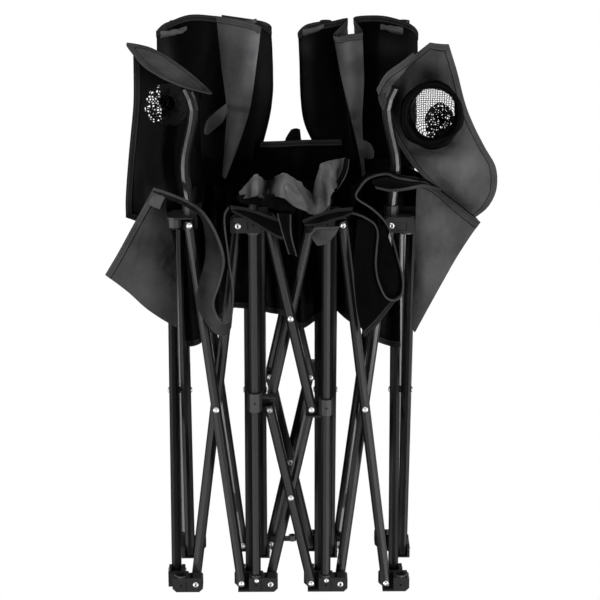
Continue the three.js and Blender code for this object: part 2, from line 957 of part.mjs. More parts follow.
// The hub moulding as a foot of the front row. The column's axis is x = 0, the pivots are at z = 0 and
// y = 0 is midway between the two layers of tubes. The left ear stands behind its strut, the right face
// in front of its strut, and the lugs hold a side strut at the column's left.
// The socket is "blind" for a post, "filled" where a post is one piece with it, "through" where the hub
// slides on its post, or a short closed "cup".
function hub({ leftEar = true, rightEar = true, socket = "blind", panel = false }) {
  const cup = socket === "cup";
  const left = leftEar ? -(PIVOT_REACH + HUB_END_REACH) : -(socketOuter + CORE_WALL);
  const right = rightEar ? PIVOT_REACH + HUB_END_REACH : socketOuter + CORE_WALL;
  const faceLeft = leftEar ? -socketOuter : left;
  const earNear = -faceFar;
  const earFar = earNear + EAR_THICKNESS;
  const floorTop = -HUB_DROP + HUB_FLOOR;
  const floorReach = SIDE_PIVOT_REACH + LUG_RADIUS / 2;
  const tubeRight = -LAYER_GAP / 2 + TOUCH;
  const tubeLeft = -(layer + TUBE_RADIUS + TOUCH);
  const cheekLeft = tubeLeft - CHEEK_THICKNESS;
  const bossTop = cup ? -HUB_DROP + CUP_DEPTH : HUB_RISE + SOCKET_RISE;
  const bore = [0, -layer, 0];
  const pieces = [
    rod(2, bore, -HUB_DROP, bossTop, socketOuter, SOCKET_SIDES),
    plate(faceOutline(leftEar ? left : cheekLeft, socketOuter, leftEar, false), earNear, earFar),
    lug(tubeRight, tubeRight + LUG_THICKNESS),
    lug(cheekLeft, tubeLeft),
    block([cheekLeft, 0, -HUB_DROP], [tubeRight + LUG_THICKNESS, floorReach, floorTop]),
  ];
  if (!cup) pieces.push(plate(faceOutline(faceLeft, right, !leftEar, true), faceNear, faceFar));
  if (leftEar) pieces.push(block([left + HUB_CHAMFER, faceNear, -HUB_DROP], [0, 0, floorTop]));
  if (rightEar) {
    pieces.push(block([0, 0, -HUB_DROP], [right - HUB_CHAMFER, layer + TUBE_RADIUS / 2, floorTop]));
  }
  if (cup) {
    const dome = new THREE.CylinderGeometry(socketOuter * CUP_TOP_SHARE, socketOuter, CUP_DOME, SOCKET_SIDES);
    dome.rotateX(Math.PI / 2);
    dome.translate(0, -layer, bossTop + CUP_DOME / 2 - TOUCH);
    pieces.push(solidOf(dome));
  }

  const cuts = [];
  const [near, far] = [faceNear - OVERRUN, earFar + OVERRUN];
  if (leftEar) cuts.push(rod(1, [-PIVOT_REACH, 0, 0], near, far, holeRadius, HOLE_SIDES));
  if (rightEar) cuts.push(rod(1, [PIVOT_REACH, 0, 0], near, faceFar + OVERRUN, holeRadius, HOLE_SIDES));
  const sidePivot = [0, SIDE_PIVOT_REACH, 0];
  cuts.push(rod(0, sidePivot, cheekLeft - OVERRUN, LUG_THICKNESS + OVERRUN, holeRadius, HOLE_SIDES));
  if (!cup && socket !== "filled") {
    const boreLow = socket === "through" ? -HUB_DROP - OVERRUN : -HUB_DROP + SOCKET_FLOOR;
    const clearance = socket === "through" ? SLIDER_CLEARANCE : SOCKET_CLEARANCE;
    cuts.push(rod(2, bore, boreLow, bossTop + OVERRUN, TUBE_RADIUS + clearance, SOCKET_SIDES));
  }
  if (!cup && !panel) {
    cuts.push(rod(1, [0, 0, -SCREW_DROP], near, faceNear + SCREW_DEPTH, SCREW_RADIUS, HOLE_SIDES));
  }
  if (rightEar && !panel) {
    const groove = socketOuter - 2 * RIB_WIDTH;
    const top = HUB_RISE / 2;
    cuts.push(block([groove, near, -HUB_RISE], [groove + RIB_WIDTH, faceNear + GROOVE_DEPTH, top]));
  }
  if (rightEar) {
    const low = [socketOuter + CORE_WALL, faceNear + CORE_WALL, HUB_RISE - CORE_DEPTH];
    const inner = PIVOT_REACH - HEAD_RADIUS;
    cuts.push(block(low, [Math.max(inner, low[0] + CORE_WALL), faceFar - CORE_WALL, HUB_RISE + OVERRUN]));
  }
  if (panel) {
    const low = [0, near, -HUB_RISE + PANEL_DEPTH + (2 * HUB_RISE - PANEL_HEIGHT) / 2];
    cuts.push(block(low, [PANEL_WIDTH, faceNear + PANEL_DEPTH, low[2] + PANEL_HEIGHT]));
  }
  return cut(join(pieces), cuts);
}

// A slider of the middle section, for the column at the left: its arm reaches to the right, with a thin
// web between the two tubes and a shelf over the front tube's end.
function slider({ low, high, shelf }) {
  const ring = rod(2, [0, -layer, 0], low, high, TUBE_RADIUS + SLIDER_CLEARANCE + SLIDER_WALL, SOCKET_SIDES);
  const top = Math.max(high, shelf + SLIDER_SHELF);
  const right = PIVOT_REACH + SLIDER_END_REACH;
  const webLow = Math.max(low, -SLIDER_END_REACH);
  const web = block([0, -faceFar, webLow], [right, faceFar, shelf + SLIDER_SHELF]);
  const cover = block([0, -layer - TUBE_RADIUS / 2, shelf], [right, faceFar, shelf + SLIDER_SHELF]);
  const brace = block([0, -layer, shelf - CORE_WALL], [PIVOT_REACH / 2 + TOUCH, faceFar, shelf + TOUCH]);
  const screwBottom = -layer - TUBE_RADIUS - SLIDER_WALL / 2;
  return cut(join([ring, web, cover, brace]), [
    rod(2, [0, -layer, 0], low - OVERRUN, top + OVERRUN, TUBE_RADIUS + SLIDER_CLEARANCE, SOCKET_SIDES),
    rod(1, [PIVOT_REACH, 0, 0], -OVERRUN, OVERRUN, holeRadius, HOLE_SIDES),
    rod(1, [0, 0, (low + high) / 2], -2 * layer - OVERRUN, screwBottom, SCREW_RADIUS, HEAD_SIDES),
  ]);
}

// A post from its socket's floor to its top, with a cap over the open end.
function post(from, to) {
  const capTop = rod(2, [0, -layer, 0], to - CAP_HEIGHT, to, CAP_RADIUS, TUBE_SIDES);
  return join([rod(2, [0, -layer, 0], from, to - TOUCH, TUBE_RADIUS, TUBE_SIDES), capTop]);
}

// The arm post: a tube that sways a little sideways as it rises, inwards for positive shares.
function armPost(inwards) {
  const steps = ARM_POST_SWAY_SHARES.length - 1;
  const points = ARM_POST_SWAY_SHARES.map(
    (share, i) => new THREE.Vector3(inwards * share * ARM_POST_SWAY, 0, (i / steps) * ARM_POST_HEIGHT),
  );
  const circle = new THREE.Shape().absarc(0, 0, TUBE_RADIUS, 0, 2 * Math.PI, false);
  const geometry = new THREE.ExtrudeGeometry(circle, {
    steps: Math.round(1.5 * steps),
    curveSegments: TUBE_SIDES / 2,
    extrudePath: new THREE.CatmullRomCurve3(points),
  });
  return solidOf(geometry);
}

// The holder of an arm post, under the outer upper hub while that stands as a foot.
function armSeat(x) {
  const end = -HUB_DROP - ARM_SEAT_HEIGHT;
  const boss = rod(2, [x, 0, 0], end, -HUB_DROP + HUB_FLOOR / 2, ARM_SEAT_RADIUS, SOCKET_SIDES);
  const radius = TUBE_RADIUS + ARM_SEAT_CLEARANCE;
  return boss.subtract(rod(2, [x, 0, 0], end - OVERRUN, end + ARM_SEAT_DEPTH, radius, SOCKET_SIDES));
}

// The bracket that reaches out past a foot's left ear and ends in an open ring.
function bracket() {
  const ear = -(PIVOT_REACH + HUB_END_REACH);
  const x = ear - BRACKET_REACH + BRACKET_RING_RADIUS;
  const y = EAR_THICKNESS / 2 - faceFar;
  const low = BRACKET_RING_LOW;
  const bar = block([x, -faceFar, low], [ear + TOUCH, EAR_THICKNESS - faceFar, low + BRACKET_BAR]);
  const ring = rod(2, [x, y, 0], low, BRACKET_RING_HIGH, BRACKET_RING_RADIUS, SOCKET_SIDES);
  const past = BRACKET_RING_HIGH + OVERRUN;
  const bore = rod(2, [x, y, 0], low - OVERRUN, past, BRACKET_BORE_RADIUS, SOCKET_SIDES);
  return bar.add(ring).subtract(bore);
}

// Placing. The rear row is the front row turned half round, and an upper hub is a foot turned about y.
const halfTurn = Math.PI;
const rear = new THREE.Matrix4().makeRotationZ(halfTurn);
const flip = new THREE.Matrix4().makeRotationY(halfTurn);

function moved(x, y, z) {
  return new THREE.Matrix4().makeTranslation(x, y, z);
}

function placed(solid, matrices) {
  const geometry = geometryOf(solid);
  matrices.forEach((matrix) => geometry.applyMatrix4(matrix));
  return geometry;
}

const group = new THREE.Group();
group.name = "camping_loveseat";

function add(name, geometry, material) {
  geometry.computeVertexNormals();
  const mesh = new THREE.Mesh(geometry, material);
  mesh.name = name;
  group.add(mesh);
}

// Each row is built as the front row, and its columns are named by where they stand in the end.
const columnNames = ["outer_left", "inner_left", "inner_right", "outer_right"];
const rows = [
  { name: "front", place: [moved(0, -rowDepth, 0)], nameOf: (i) => columnNames[i] },
  { name: "rear", place: [moved(0, -rowDepth, 0), rear], nameOf: (i) => columnNames.at(-1 - i) },
];

function tilted(angle) {
  return new THREE.Matrix4().makeRotationY(angle);
}

rows.forEach((row) => {
  const isRear = row.name === "rear";
  const at = (x, z) => [moved(x, 0, z), ...row.place];
  const upside = (x, z) => [flip, moved(x, 0, z), ...row.place];
  columns.forEach((x, i) => {
    const name = row.nameOf(i);
    const outer = i === 0 || i === columns.length - 1;
    const ears = { leftEar: i > 0, rightEar: i < columns.length - 1 };
    const foot = hub({ ...ears, socket: "blind" });
    const seat = -HUB_DROP + SOCKET_FLOOR;
    if (isRear) {
      const leg = hub({ ...ears, socket: "filled" }).add(post(seat, backPostTop - footPivot));
      const whole = name === "inner_left" ? leg.add(bracket()) : leg;
      add(`rear_leg_${name}`, placed(whole, at(x, footPivot)), steel);
    } else {
      add(`front_foot_${name}`, placed(foot, at(x, footPivot)), plastic);
      if (!outer) {
        const upright = post(seat + TOUCH, innerPostTop - footPivot);
        add(`front_post_${name}`, placed(upright, at(x, footPivot)), steel);
      }
    }
    // Turned about y, the ears swap sides.
    const upperEars = { leftEar: ears.rightEar, rightEar: ears.leftEar };
    if (isRear || !outer) {
      const upper = hub({ ...upperEars, socket: "through" });
      add(`${row.name}_hub_${name}`, placed(upper, upside(x, upperPivot)), plastic);
    } else {
      const inwards = i === 0 ? 1 : -1;
      const socket = i === 0 ? "cup" : "blind";
      const upper = hub({ ...upperEars, socket, panel: i > 0 });
      const holder = armSeat(-inwards * PIVOT_REACH);
      add(`front_hub_${name}`, placed(upper.add(holder), upside(x, upperPivot)), plastic);
      add(`arm_post_${name}`, placed(armPost(inwards), at(x + inwards * PIVOT_REACH, armPostFoot)), steel);
    }
    if (!outer) {
      const high = i === 1;
      const body = slider(high ? SLIDER_HIGH : SLIDER_LOW);
      const place = high ? at(x, sliderPivot) : upside(x, sliderPivot);
      add(`${row.name}_slider_${name}`, placed(body, place), plastic);
    }
  });

  // The struts. Those that rise to the left are in the outer layer, those that rise to the right behind them.
  const sections = isRear ? ["right", "middle", "left"] : ["left", "middle", "right"];
  sections.forEach((section, i) => {
    const leftPivot = columns[i] + PIVOT_REACH;
    const rightPivot = columns[i + 1] - PIVOT_REACH;
    if (section !== "middle") {
      const out = [tilted(-lean), moved(rightPivot, -layer, footPivot), ...row.place];
      const back = [tilted(lean), moved(leftPivot, layer, footPivot), ...row.place];
      add(`${row.name}_strut_${section}_outer`, placed(outerStrut(STRUT_LENGTH), out), steel);
      add(`${row.name}_strut_${section}_inner`, placed(innerStrut(STRUT_LENGTH), back), steel);
      return;
    }
    const toSlider = { high: throughWeb };
    const open = { open: true };
    const places = [
      ["lower", outerStrut(middleLength, toSlider), innerStrut(middleLength, toSlider), footPivot],
      ["upper", outerStrut(middleLength, open), innerStrut(middleLength, open), sliderPivot],
    ];
    places.forEach(([level, outerBody, innerBody, z]) => {
      const out = [tilted(-middleLean), moved(rightPivot, -layer, z), ...row.place];
      const back = [tilted(middleLean), moved(leftPivot, layer, z), ...row.place];
      add(`${row.name}_strut_middle_${level}_outer`, placed(outerBody, out), steel);
      add(`${row.name}_strut_middle_${level}_inner`, placed(innerBody, back), steel);
    });
  });
});

// Side struts: one rises to the rear at a column's left, the other to the front at its right.
const turned = (angle) => new THREE.Matrix4().makeRotationZ(angle);
const leaning = (angle) => new THREE.Matrix4().makeRotationX(angle);
columns.forEach((x, i) => {
  const pivot = sectionWidth / 2;
  const toRear = [turned(-halfTurn / 2), leaning(-lean), moved(x - layer, -pivot, footPivot)];
  const toFront = [turned(halfTurn / 2), leaning(lean), moved(x + layer, pivot, footPivot)];
  add(`side_strut_${columnNames[i]}_to_rear`, placed(sideStrut(true), toRear), steel);
  add(`side_strut_${columnNames[i]}_to_front`, placed(sideStrut(false), toFront), steel);
});

// Cloth. A sheet runs through its edges, and its folds stand off that surface on one side only:
// along its normal where its share is positive.
function clothSolid({ level, span, folds, foldShare, phase = 0, across, along, edges }) {
  const foldDepth = foldShare * span;
  const edgeOf = ({ column, row, shares }) => {
    const start = new THREE.Vector3(columnPlaces[column], rowPlaces[row], levels[level]);
    const points = shares.map((share) => new THREE.Vector3(...share).multiplyScalar(span).add(start));
    return new THREE.CatmullRomCurve3(points);
  };
  const curves = edges.map(edgeOf);
  const ruled = (s, t) => new THREE.CatmullRomCurve3(curves.map((curve) => curve.getPoint(t))).getPoint(s);
  const normalOf = (place, s, t) => {
    const step = 1 / (across * along);
    const [s0, s1] = [Math.max(0, s - step), Math.min(1, s + step)];
    const [t0, t1] = [Math.max(0, t - step), Math.min(1, t + step)];
    const ds = place(s1, t).sub(place(s0, t));
    return ds.cross(place(s, t1).sub(place(s, t0))).normalize();
  };
  const folded = (s, t) => {
    const fade = Math.sqrt(Math.sin(Math.PI * s));
    const wave = (1 - Math.sin(2 * Math.PI * (folds * s + phase))) / 2;
    return ruled(s, t).addScaledVector(normalOf(ruled, s, t), foldDepth * fade * wave);
  };
  const positions = [];
  const indices = [];
  const rowLength = across + 1;
  const layerSize = rowLength * (along + 1);
  [1, -1].forEach((side) => {
    for (let j = 0; j <= along; j++) {
      for (let i = 0; i <= across; i++) {
        const [s, t] = [i / across, j / along];
        const normal = normalOf(folded, s, t);
        positions.push(...folded(s, t).addScaledVector(normal, (side * CLOTH) / 2));
      }
    }
  });
  const quad = (a, b, c, d) => indices.push(a, b, c, a, c, d);
  const at = (i, j) => j * rowLength + i;
  for (let j = 0; j < along; j++) {
    for (let i = 0; i < across; i++) {
      const corners = [at(i, j), at(i + 1, j), at(i + 1, j + 1), at(i, j + 1)];
      quad(...corners);
      quad(...corners.map((corner) => corner + layerSize).reverse());
    }
    quad(at(0, j), at(0, j + 1), at(0, j + 1) + layerSize, at(0, j) + layerSize);
    quad(at(across, j + 1), at(across, j), at(across, j) + layerSize, at(across, j + 1) + layerSize);
  }
  for (let i = 0; i < across; i++) {
    quad(at(i + 1, 0), at(i, 0), at(i, 0) + layerSize, at(i + 1, 0) + layerSize);
    quad(at(i, along), at(i + 1, along), at(i + 1, along) + layerSize, at(i, along) + layerSize);
  }
  const geometry = new THREE.BufferGeometry();
  geometry.setAttribute("position", new THREE.Float32BufferAttribute(positions, 3));
  geometry.setIndex(indices);
  return solidOf(geometry);
}

// Cup holder of the right armrest: a short round pouch behind a hole that faces the front.
function withCupHolder(armrest) {
  const { rim, radius, depth } = CUP_HOLDER;
  const x = outerColumn + CUP_HOLDER.outwards;
  const y = -rowDepth + CUP_HOLDER.behind;
  const z = armPostTop - CUP_HOLDER.below;
  const pouch = rod(1, [x, 0, z], y - rim, y + depth, radius, 2 * TUBE_SIDES);
  const hollow = rod(1, [x, 0, z], y - rim - OVERRUN, y + depth - CLOTH, radius - CLOTH, 2 * TUBE_SIDES);
  return armrest.add(pouch).subtract(hollow);
}

Object.entries(CLOTH_PIECES).forEach(([name, sheets]) => {
  const solids = sheets.map(clothSolid);
  const cloth = join(solids);
  add(name, geometryOf(name === "armrest_right" ? withCupHolder(cloth) : cloth), polyester);
});

// The origin goes to the middle of the whole chair's footprint, on the ground.
const middle = new THREE.Box3().setFromObject(group).getCenter(new THREE.Vector3());
group.children.forEach((mesh) => mesh.geometry.translate(-middle.x, -middle.y, 0));

export default group;
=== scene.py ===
# %% [markdown]
# # A folding camping loveseat
# The chair stands nearly folded, with its cloth hanging slack between bundles of black tubes. Its
# hard parts come from the packed model as they are, and this script gives them their finishes.
# The cloth is built here, sheet by sheet, in place of the plain cloth solids. This first cell
# loads the frame and keeps its size.

# %% Load the frame
import json
import math

import bpy
import numpy as np
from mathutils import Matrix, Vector, noise

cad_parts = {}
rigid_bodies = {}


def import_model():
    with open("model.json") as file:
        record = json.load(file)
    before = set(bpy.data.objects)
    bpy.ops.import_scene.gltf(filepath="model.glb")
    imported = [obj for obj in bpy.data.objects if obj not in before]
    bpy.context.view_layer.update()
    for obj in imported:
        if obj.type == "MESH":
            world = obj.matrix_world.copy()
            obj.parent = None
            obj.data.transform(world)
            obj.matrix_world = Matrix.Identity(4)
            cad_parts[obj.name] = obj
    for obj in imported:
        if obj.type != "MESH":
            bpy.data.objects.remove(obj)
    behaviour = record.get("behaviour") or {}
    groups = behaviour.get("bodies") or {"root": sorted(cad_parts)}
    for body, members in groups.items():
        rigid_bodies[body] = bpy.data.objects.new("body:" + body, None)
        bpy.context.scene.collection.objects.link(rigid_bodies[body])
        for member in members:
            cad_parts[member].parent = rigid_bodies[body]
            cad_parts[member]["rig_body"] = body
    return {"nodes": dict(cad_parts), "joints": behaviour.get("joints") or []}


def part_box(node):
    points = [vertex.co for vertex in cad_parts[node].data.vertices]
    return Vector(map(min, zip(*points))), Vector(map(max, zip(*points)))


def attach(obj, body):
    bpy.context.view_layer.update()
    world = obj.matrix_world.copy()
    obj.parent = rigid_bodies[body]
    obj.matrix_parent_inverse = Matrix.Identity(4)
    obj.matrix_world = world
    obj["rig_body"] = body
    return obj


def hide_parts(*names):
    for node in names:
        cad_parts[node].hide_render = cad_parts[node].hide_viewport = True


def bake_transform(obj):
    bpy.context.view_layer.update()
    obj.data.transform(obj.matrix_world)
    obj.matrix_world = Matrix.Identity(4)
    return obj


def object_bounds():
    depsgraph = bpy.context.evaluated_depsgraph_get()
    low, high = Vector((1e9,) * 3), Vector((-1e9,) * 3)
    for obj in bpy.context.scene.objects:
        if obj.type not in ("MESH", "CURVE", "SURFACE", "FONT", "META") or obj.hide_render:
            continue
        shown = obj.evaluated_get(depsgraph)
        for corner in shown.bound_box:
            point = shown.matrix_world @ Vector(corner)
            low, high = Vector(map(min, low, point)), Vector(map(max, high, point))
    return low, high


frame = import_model()
CAD_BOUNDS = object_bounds()

# %% [markdown]
# Everything below is laid out in millimetres about the middle of the folding frame, because small
# whole numbers are easy to read and to change. One post of known place gives the step from there
# to the part's own frame in metres: it stands `INNER_COLUMN` to the left of the middle and `ROW`
# in front of it.

# %% From layout millimetres to the part's frame
MM = 0.001
INNER_COLUMN = 55.4
ROW = 78.2
post_low, post_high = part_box("front_post_inner_left")
SHIFT = np.array([
    (post_low.x + post_high.x) / 2 + INNER_COLUMN * MM,
    (post_low.y + post_high.y) / 2 + ROW * MM,
    0.0,
])


def place(points):
    """Layout millimetres to metres in the part's frame."""
    return np.asarray(points, float) * MM + SHIFT


def point(x, y, z):
    """One point of the part's frame."""
    return Vector(place((x, y, z)))


print("layout origin stands at", SHIFT.round(4))

# %% [markdown]
# The camera stands three metres in front of the chair, a little above it, and looks down. Its
# place could be found by eye. Here it was worked out from posts and pivots of known size, so that
# every point of the photograph gives one straight line through the scene.

# %% Camera
CAMERA_PLACE = (-13, -3052.5, 1520)
CAMERA_PITCH = math.radians(19.14)
CAMERA_TURN = math.radians(-0.53)
SENSOR = 36
FOCAL_SHARE = 2072 / 600

scene = bpy.context.scene
camera = bpy.data.objects.new("camera", bpy.data.cameras.new("camera"))
camera.location = point(*CAMERA_PLACE)
camera.rotation_euler = (math.pi / 2 - CAMERA_PITCH, 0, CAMERA_TURN)
camera.data.sensor_width = SENSOR
camera.data.lens = SENSOR * FOCAL_SHARE
scene.collection.objects.link(camera)
scene.camera = camera
scene.view_settings.view_transform = "Standard"
print("lens", round(camera.data.lens, 1), "mm")

# %% [markdown]
# Shaders could be wired by hand, node by node, but sums are easier to read. A `Wire` is one value
# between nodes, and ordinary arithmetic on it makes the maths nodes. `Nodes` makes every other
# node with one method, and a `Shader` is a material with the noise and bump used here.

# %% Shader tools
class Wire:
    """One output socket, with arithmetic."""

    def __init__(self, nodes, socket):
        self.nodes = nodes
        self.socket = socket

    def maths(self, operation, *others):
        return self.nodes.maths(operation, self, *others)

    def __add__(self, other):
        return self.maths("ADD", other)

    def __sub__(self, other):
        return self.maths("SUBTRACT", other)

    def __mul__(self, other):
        return self.maths("MULTIPLY", other)

    def __truediv__(self, other):
        return self.maths("DIVIDE", other)

    __radd__ = __add__
    __rmul__ = __mul__

    def __rsub__(self, other):
        return self.nodes.maths("SUBTRACT", other, self)

    def __rtruediv__(self, other):
        return self.nodes.maths("DIVIDE", other, self)

    def under(self, other):
        return self.maths("LESS_THAN", other)

    def over(self, other):
        return self.maths("GREATER_THAN", other)

    def sin(self):
        return self.maths("SINE")

    def abs(self):
        return self.maths("ABSOLUTE")

    def fraction(self):
        return self.maths("FRACT")

    def most(self, other):
        return self.maths("MAXIMUM", other)


class Nodes:
    """The nodes of a material or a world."""

    def __init__(self, tree):
        self.tree = tree

    def feed(self, slot, value):
        if isinstance(value, Wire):
            self.tree.links.new(value.socket, slot)
        else:
            slot.default_value = value

    def node(self, kind, inputs=None, output=0, **settings):
        """One node: its settings first, then the values or wires of its sockets."""
        made = self.tree.nodes.new("ShaderNode" + kind)
        for name, value in settings.items():
            setattr(made, name, value)
        for name, value in (inputs or {}).items():
            self.feed(made.inputs[name], value)
        return Wire(self, made.outputs[output]) if made.outputs else None

    def maths(self, operation, *values):
        return self.node("Math", dict(enumerate(values)), operation=operation)


class Shader(Nodes):
    """One material, with a Principled surface."""

    def __init__(self, name):
        self.material = bpy.data.materials.new(name)
        self.material.use_nodes = True
        super().__init__(self.material.node_tree)
        self.surface = self.tree.nodes["Principled BSDF"]

    def noise(self, where, scale, detail=2.0, rough=0.5):
        values = {"Vector": where, "Scale": scale, "Detail": detail, "Roughness": rough}
        return self.node("TexNoise", values)

    def place(self):
        return self.node("TexCoord", output="Object")

    def attribute(self, name):
        return self.node("Attribute", output="Fac", attribute_name=name)

    def grey(self, value):
        """A black or grey, slightly cool."""
        return self.node("CombineColor", {"Red": value, "Green": value, "Blue": value * 1.03})

    def bump(self, height, strength, distance):
        values = {"Height": height, "Strength": strength, "Distance": distance}
        return self.node("Bump", values, "Normal")

    def set(self, **values):
        """Values or wires of the surface's own sockets, named as Blender names them."""
        for name, value in values.items():
            socket = name.replace("_", " ").title().replace("Ior", "IOR")
            self.feed(self.surface.inputs[socket], value)
        return self.material


print("a wire knows", [name for name in vars(Wire) if not name.startswith("__")])

# %% [markdown]
# The tubes are powder-coated steel: nearly black, with a fine orange peel under a thin gloss, and
# paler where they have rubbed. The feet and hubs are moulded plastic with a grained skin. The
# rivets are bright metal. A flat black would do from afar, but close up it is the grain that tells
# the three apart, so each gets its own noise in colour, roughness and bump.

# %% Hard finishes
def powder_coat(name, coat, coat_rough, shine):
    """coat, coat_rough: the gloss over the paint. shine: how strongly the paint itself reflects."""
    s = Shader(name)
    where = s.place()
    peel = s.noise(where, 700, 2)
    cloudy = s.noise(where, 14, 3)
    rubbed = s.noise(where, 120, 4, 0.7).over(0.68) * 0.015
    return s.set(
        base_color=s.grey(cloudy * 0.004 + rubbed + 0.003),
        roughness=cloudy * 0.10 + 0.34,
        normal=s.bump(peel, 0.06, 0.0002),
        coat_weight=coat, coat_roughness=coat_rough, specular_ior_level=shine, metallic=0.0,
    )


def moulded():
    s = Shader("moulded_plastic")
    where = s.place()
    grain = s.noise(where, 1500, 3, 0.6)
    cloudy = s.noise(where, 30, 2)
    scuffs = s.noise(where, 220, 5, 0.75).over(0.66) * 0.015
    return s.set(
        base_color=s.grey(cloudy * 0.008 + scuffs + 0.012),
        roughness=grain * 0.2 + 0.3,
        normal=s.bump(grain, 0.2, 0.0003),
        specular_ior_level=0.25, metallic=0.0,
    )


def bright_metal():
    s = Shader("bright_metal")
    brushed = s.noise(s.place(), 600, 3)
    return s.set(
        base_color=s.grey(brushed * 0.30 + 0.42),
        roughness=brushed * 0.15 + 0.30,
        metallic=0.8,
    )


STEEL = powder_coat("powder_coat", 0.20, 0.05, 0.19)
GLOSSY = powder_coat("powder_coat_glossy", 0.45, 0.17, 0.07)
PLASTIC = moulded()
BRIGHT = bright_metal()
print([m.name for m in (STEEL, GLOSSY, PLASTIC, BRIGHT)])

# %% [markdown]
# The cloth is a close plain weave. Its threads run with the sheet's own lengths, which are kept
# in the UV map in metres, so that the weave has its real size everywhere. Each sheet also keeps
# how far every point lies from its hemmed edges and how far along them it is. From these the
# shader draws the turned hem, its fold, darkened as painted shade in the crease, and two rows
# of stitches. A picture could do that too, but numbers stay sharp at any size.

# %% Cloth finishes
THREAD = 0.0011
HEM = 0.010
FOLD_HALF = 0.0008
STITCH = 0.0036
STITCH_SHARE = 0.62
STITCH_HALF = 0.0006
STITCH_ROWS = (0.0022, 0.0078)


def woven(name, base, rough, crumple, shine, hem_tone, net=None):
    """base, hem_tone: how pale the cloth and its hems are. crumple: height of its small creases.
    net: share of a cell taken by thread, the cell's size and its unevenness, for a net."""
    s = Shader(name)
    lengths = s.node("UVMap", output="UV", uv_map="lengths")
    u, v = (s.node("SeparateXYZ", {"Vector": lengths}, way) for way in "XY")
    shown = s.attribute("hole").over(0.0)
    if net:
        thread, cell, uneven = net
        values = {"Vector": lengths, "Scale": 1 / cell, "Randomness": uneven}
        shown = s.node("TexVoronoi", values, feature="DISTANCE_TO_EDGE").under(thread)
    turn = 2 * math.pi / THREAD
    threads = (u * turn).sin() * (v * turn).sin()
    edge = s.attribute("edge")
    inside = edge.under(HEM)
    fold = (edge - HEM).abs().under(FOLD_HALF)
    dash = (s.attribute("run") / STITCH).fraction().under(STITCH_SHARE)
    outer_row, inner_row = ((edge - row).abs().under(STITCH_HALF) for row in STITCH_ROWS)
    stitch = outer_row.most(inner_row) * dash
    where = s.place()
    cloudy = s.noise(where, 13, 3)
    dust = s.noise(where, 420, 4, 0.7)
    # clouds and dust make the tone uneven, but never take more than three quarters of it
    patchy = (cloudy * 2.3 + dust * 0.35 - 0.32).most(0.25)
    # Painted light: the tone is multiplied by painted shade in folds and under loops, and by painted
    # highlights where that factor is above one; the hem's fold line is drawn darker as painted shade in
    # its crease.
    cloth_tone = patchy * s.attribute("shade") * base * (1 - inside)
    tone = cloth_tone + patchy * hem_tone * inside + stitch * 0.02 - fold * hem_tone * 0.8
    creases = s.noise(where, 15, 3, 0.55)
    height = threads * 0.00006 + stitch * 0.0005 - fold * 0.0006 + creases * crumple
    return s.set(
        base_color=s.grey(tone.most(0.0004)),
        roughness=cloudy * 0.16 + (rough - 0.08) + inside * 0.12,
        alpha=shown,
        normal=s.bump(height, 0.8, 1.0),
        specular_ior_level=shine, metallic=0.0,
    )


CLOTH = woven("cloth", 0.0008, 0.40, 0.005, 0.03, 0.009)
BOUND = woven("bound_cloth", 0.0012, 0.40, 0.004, 0.03, 0.030)
# The reverse finish is the cloth's paler back, and also a lit copy of the cloth: sheets and columns
# that face the light are drawn in it, so its paleness is partly painted light.
LIT_REVERSE = woven("cloth_reverse", 0.046, 0.45, 0.020, 0.07, 0.034)
# The satin's pale tone is a painted sheen: the satin itself is as black as the other cloth.
SHEEN_SATIN = woven("satin_cloth", 0.064, 0.34, 0.010, 0.10, 0.028)
NET = woven("cup_net", 0.002, 0.6, 0.0, 0.1, 0.002, net=(0.15, 0.0034, 0.3))
THICK_NET = woven("cup_net_double", 0.002, 0.6, 0.0, 0.1, 0.002, net=(0.22, 0.0042, 0.9))
print([m.name for m in (CLOTH, BOUND, LIT_REVERSE, SHEEN_SATIN, NET, THICK_NET)])

# %% [markdown]
# The packed nodes keep their shape. They get smooth shading up to a clear edge, and their finish:
# posts and crossed tubes are steel, everything moulded is plastic. A rear leg is a post fused to
# its foot, so its finish changes at the top of the foot's socket. The bent arm posts have more
# gloss, which draws the one bright line down each.

# %% Finish the packed nodes
SHARP = math.radians(38)
STEEL_NAMES = ("_strut_", "front_post", "arm_post")
FOOT_TOP = 29


def finish_node(node):
    mesh = node.data
    mesh.materials.clear()
    if any(word in node.name for word in STEEL_NAMES):
        mesh.materials.append(GLOSSY if "arm_post" in node.name else STEEL)
    else:
        mesh.materials.append(PLASTIC)
    if node.name.startswith("rear_leg"):
        mesh.materials.append(STEEL)
        for face in mesh.polygons:
            if face.center.z > FOOT_TOP * MM:
                face.material_index = 1
    mesh.shade_smooth()
    mesh.set_sharp_from_angle(angle=SHARP)


HARD_NAMES = ("front_", "rear_", "side_strut", "arm_post")
cloth_nodes = [n for n in frame["nodes"] if not n.startswith(HARD_NAMES)]
for name, node in frame["nodes"].items():
    if name in cloth_nodes:
        continue
    finish_node(node)
print("cloth nodes:", sorted(cloth_nodes))

# %% [markdown]
# Every turning joint has a bright domed rivet head on each face of its stack of tubes, with a
# shallow dimple in the middle. A cylinder would do from afar, but the dome is what catches the
# light, so the head is turned from a short outline of rings. All heads share one mesh.

# %% Rivet heads
HEAD = 0.0047
HEAD_RISE = 0.0019
HEAD_OUTLINE = [
    (1.0, 0.0), (0.97, 0.35), (0.80, 0.74), (0.60, 0.95), (0.42, 1.0), (0.26, 0.55), (0.0, 0.40),
]
HEAD_SIDES = 20
HEAD_SHARP = math.radians(60)


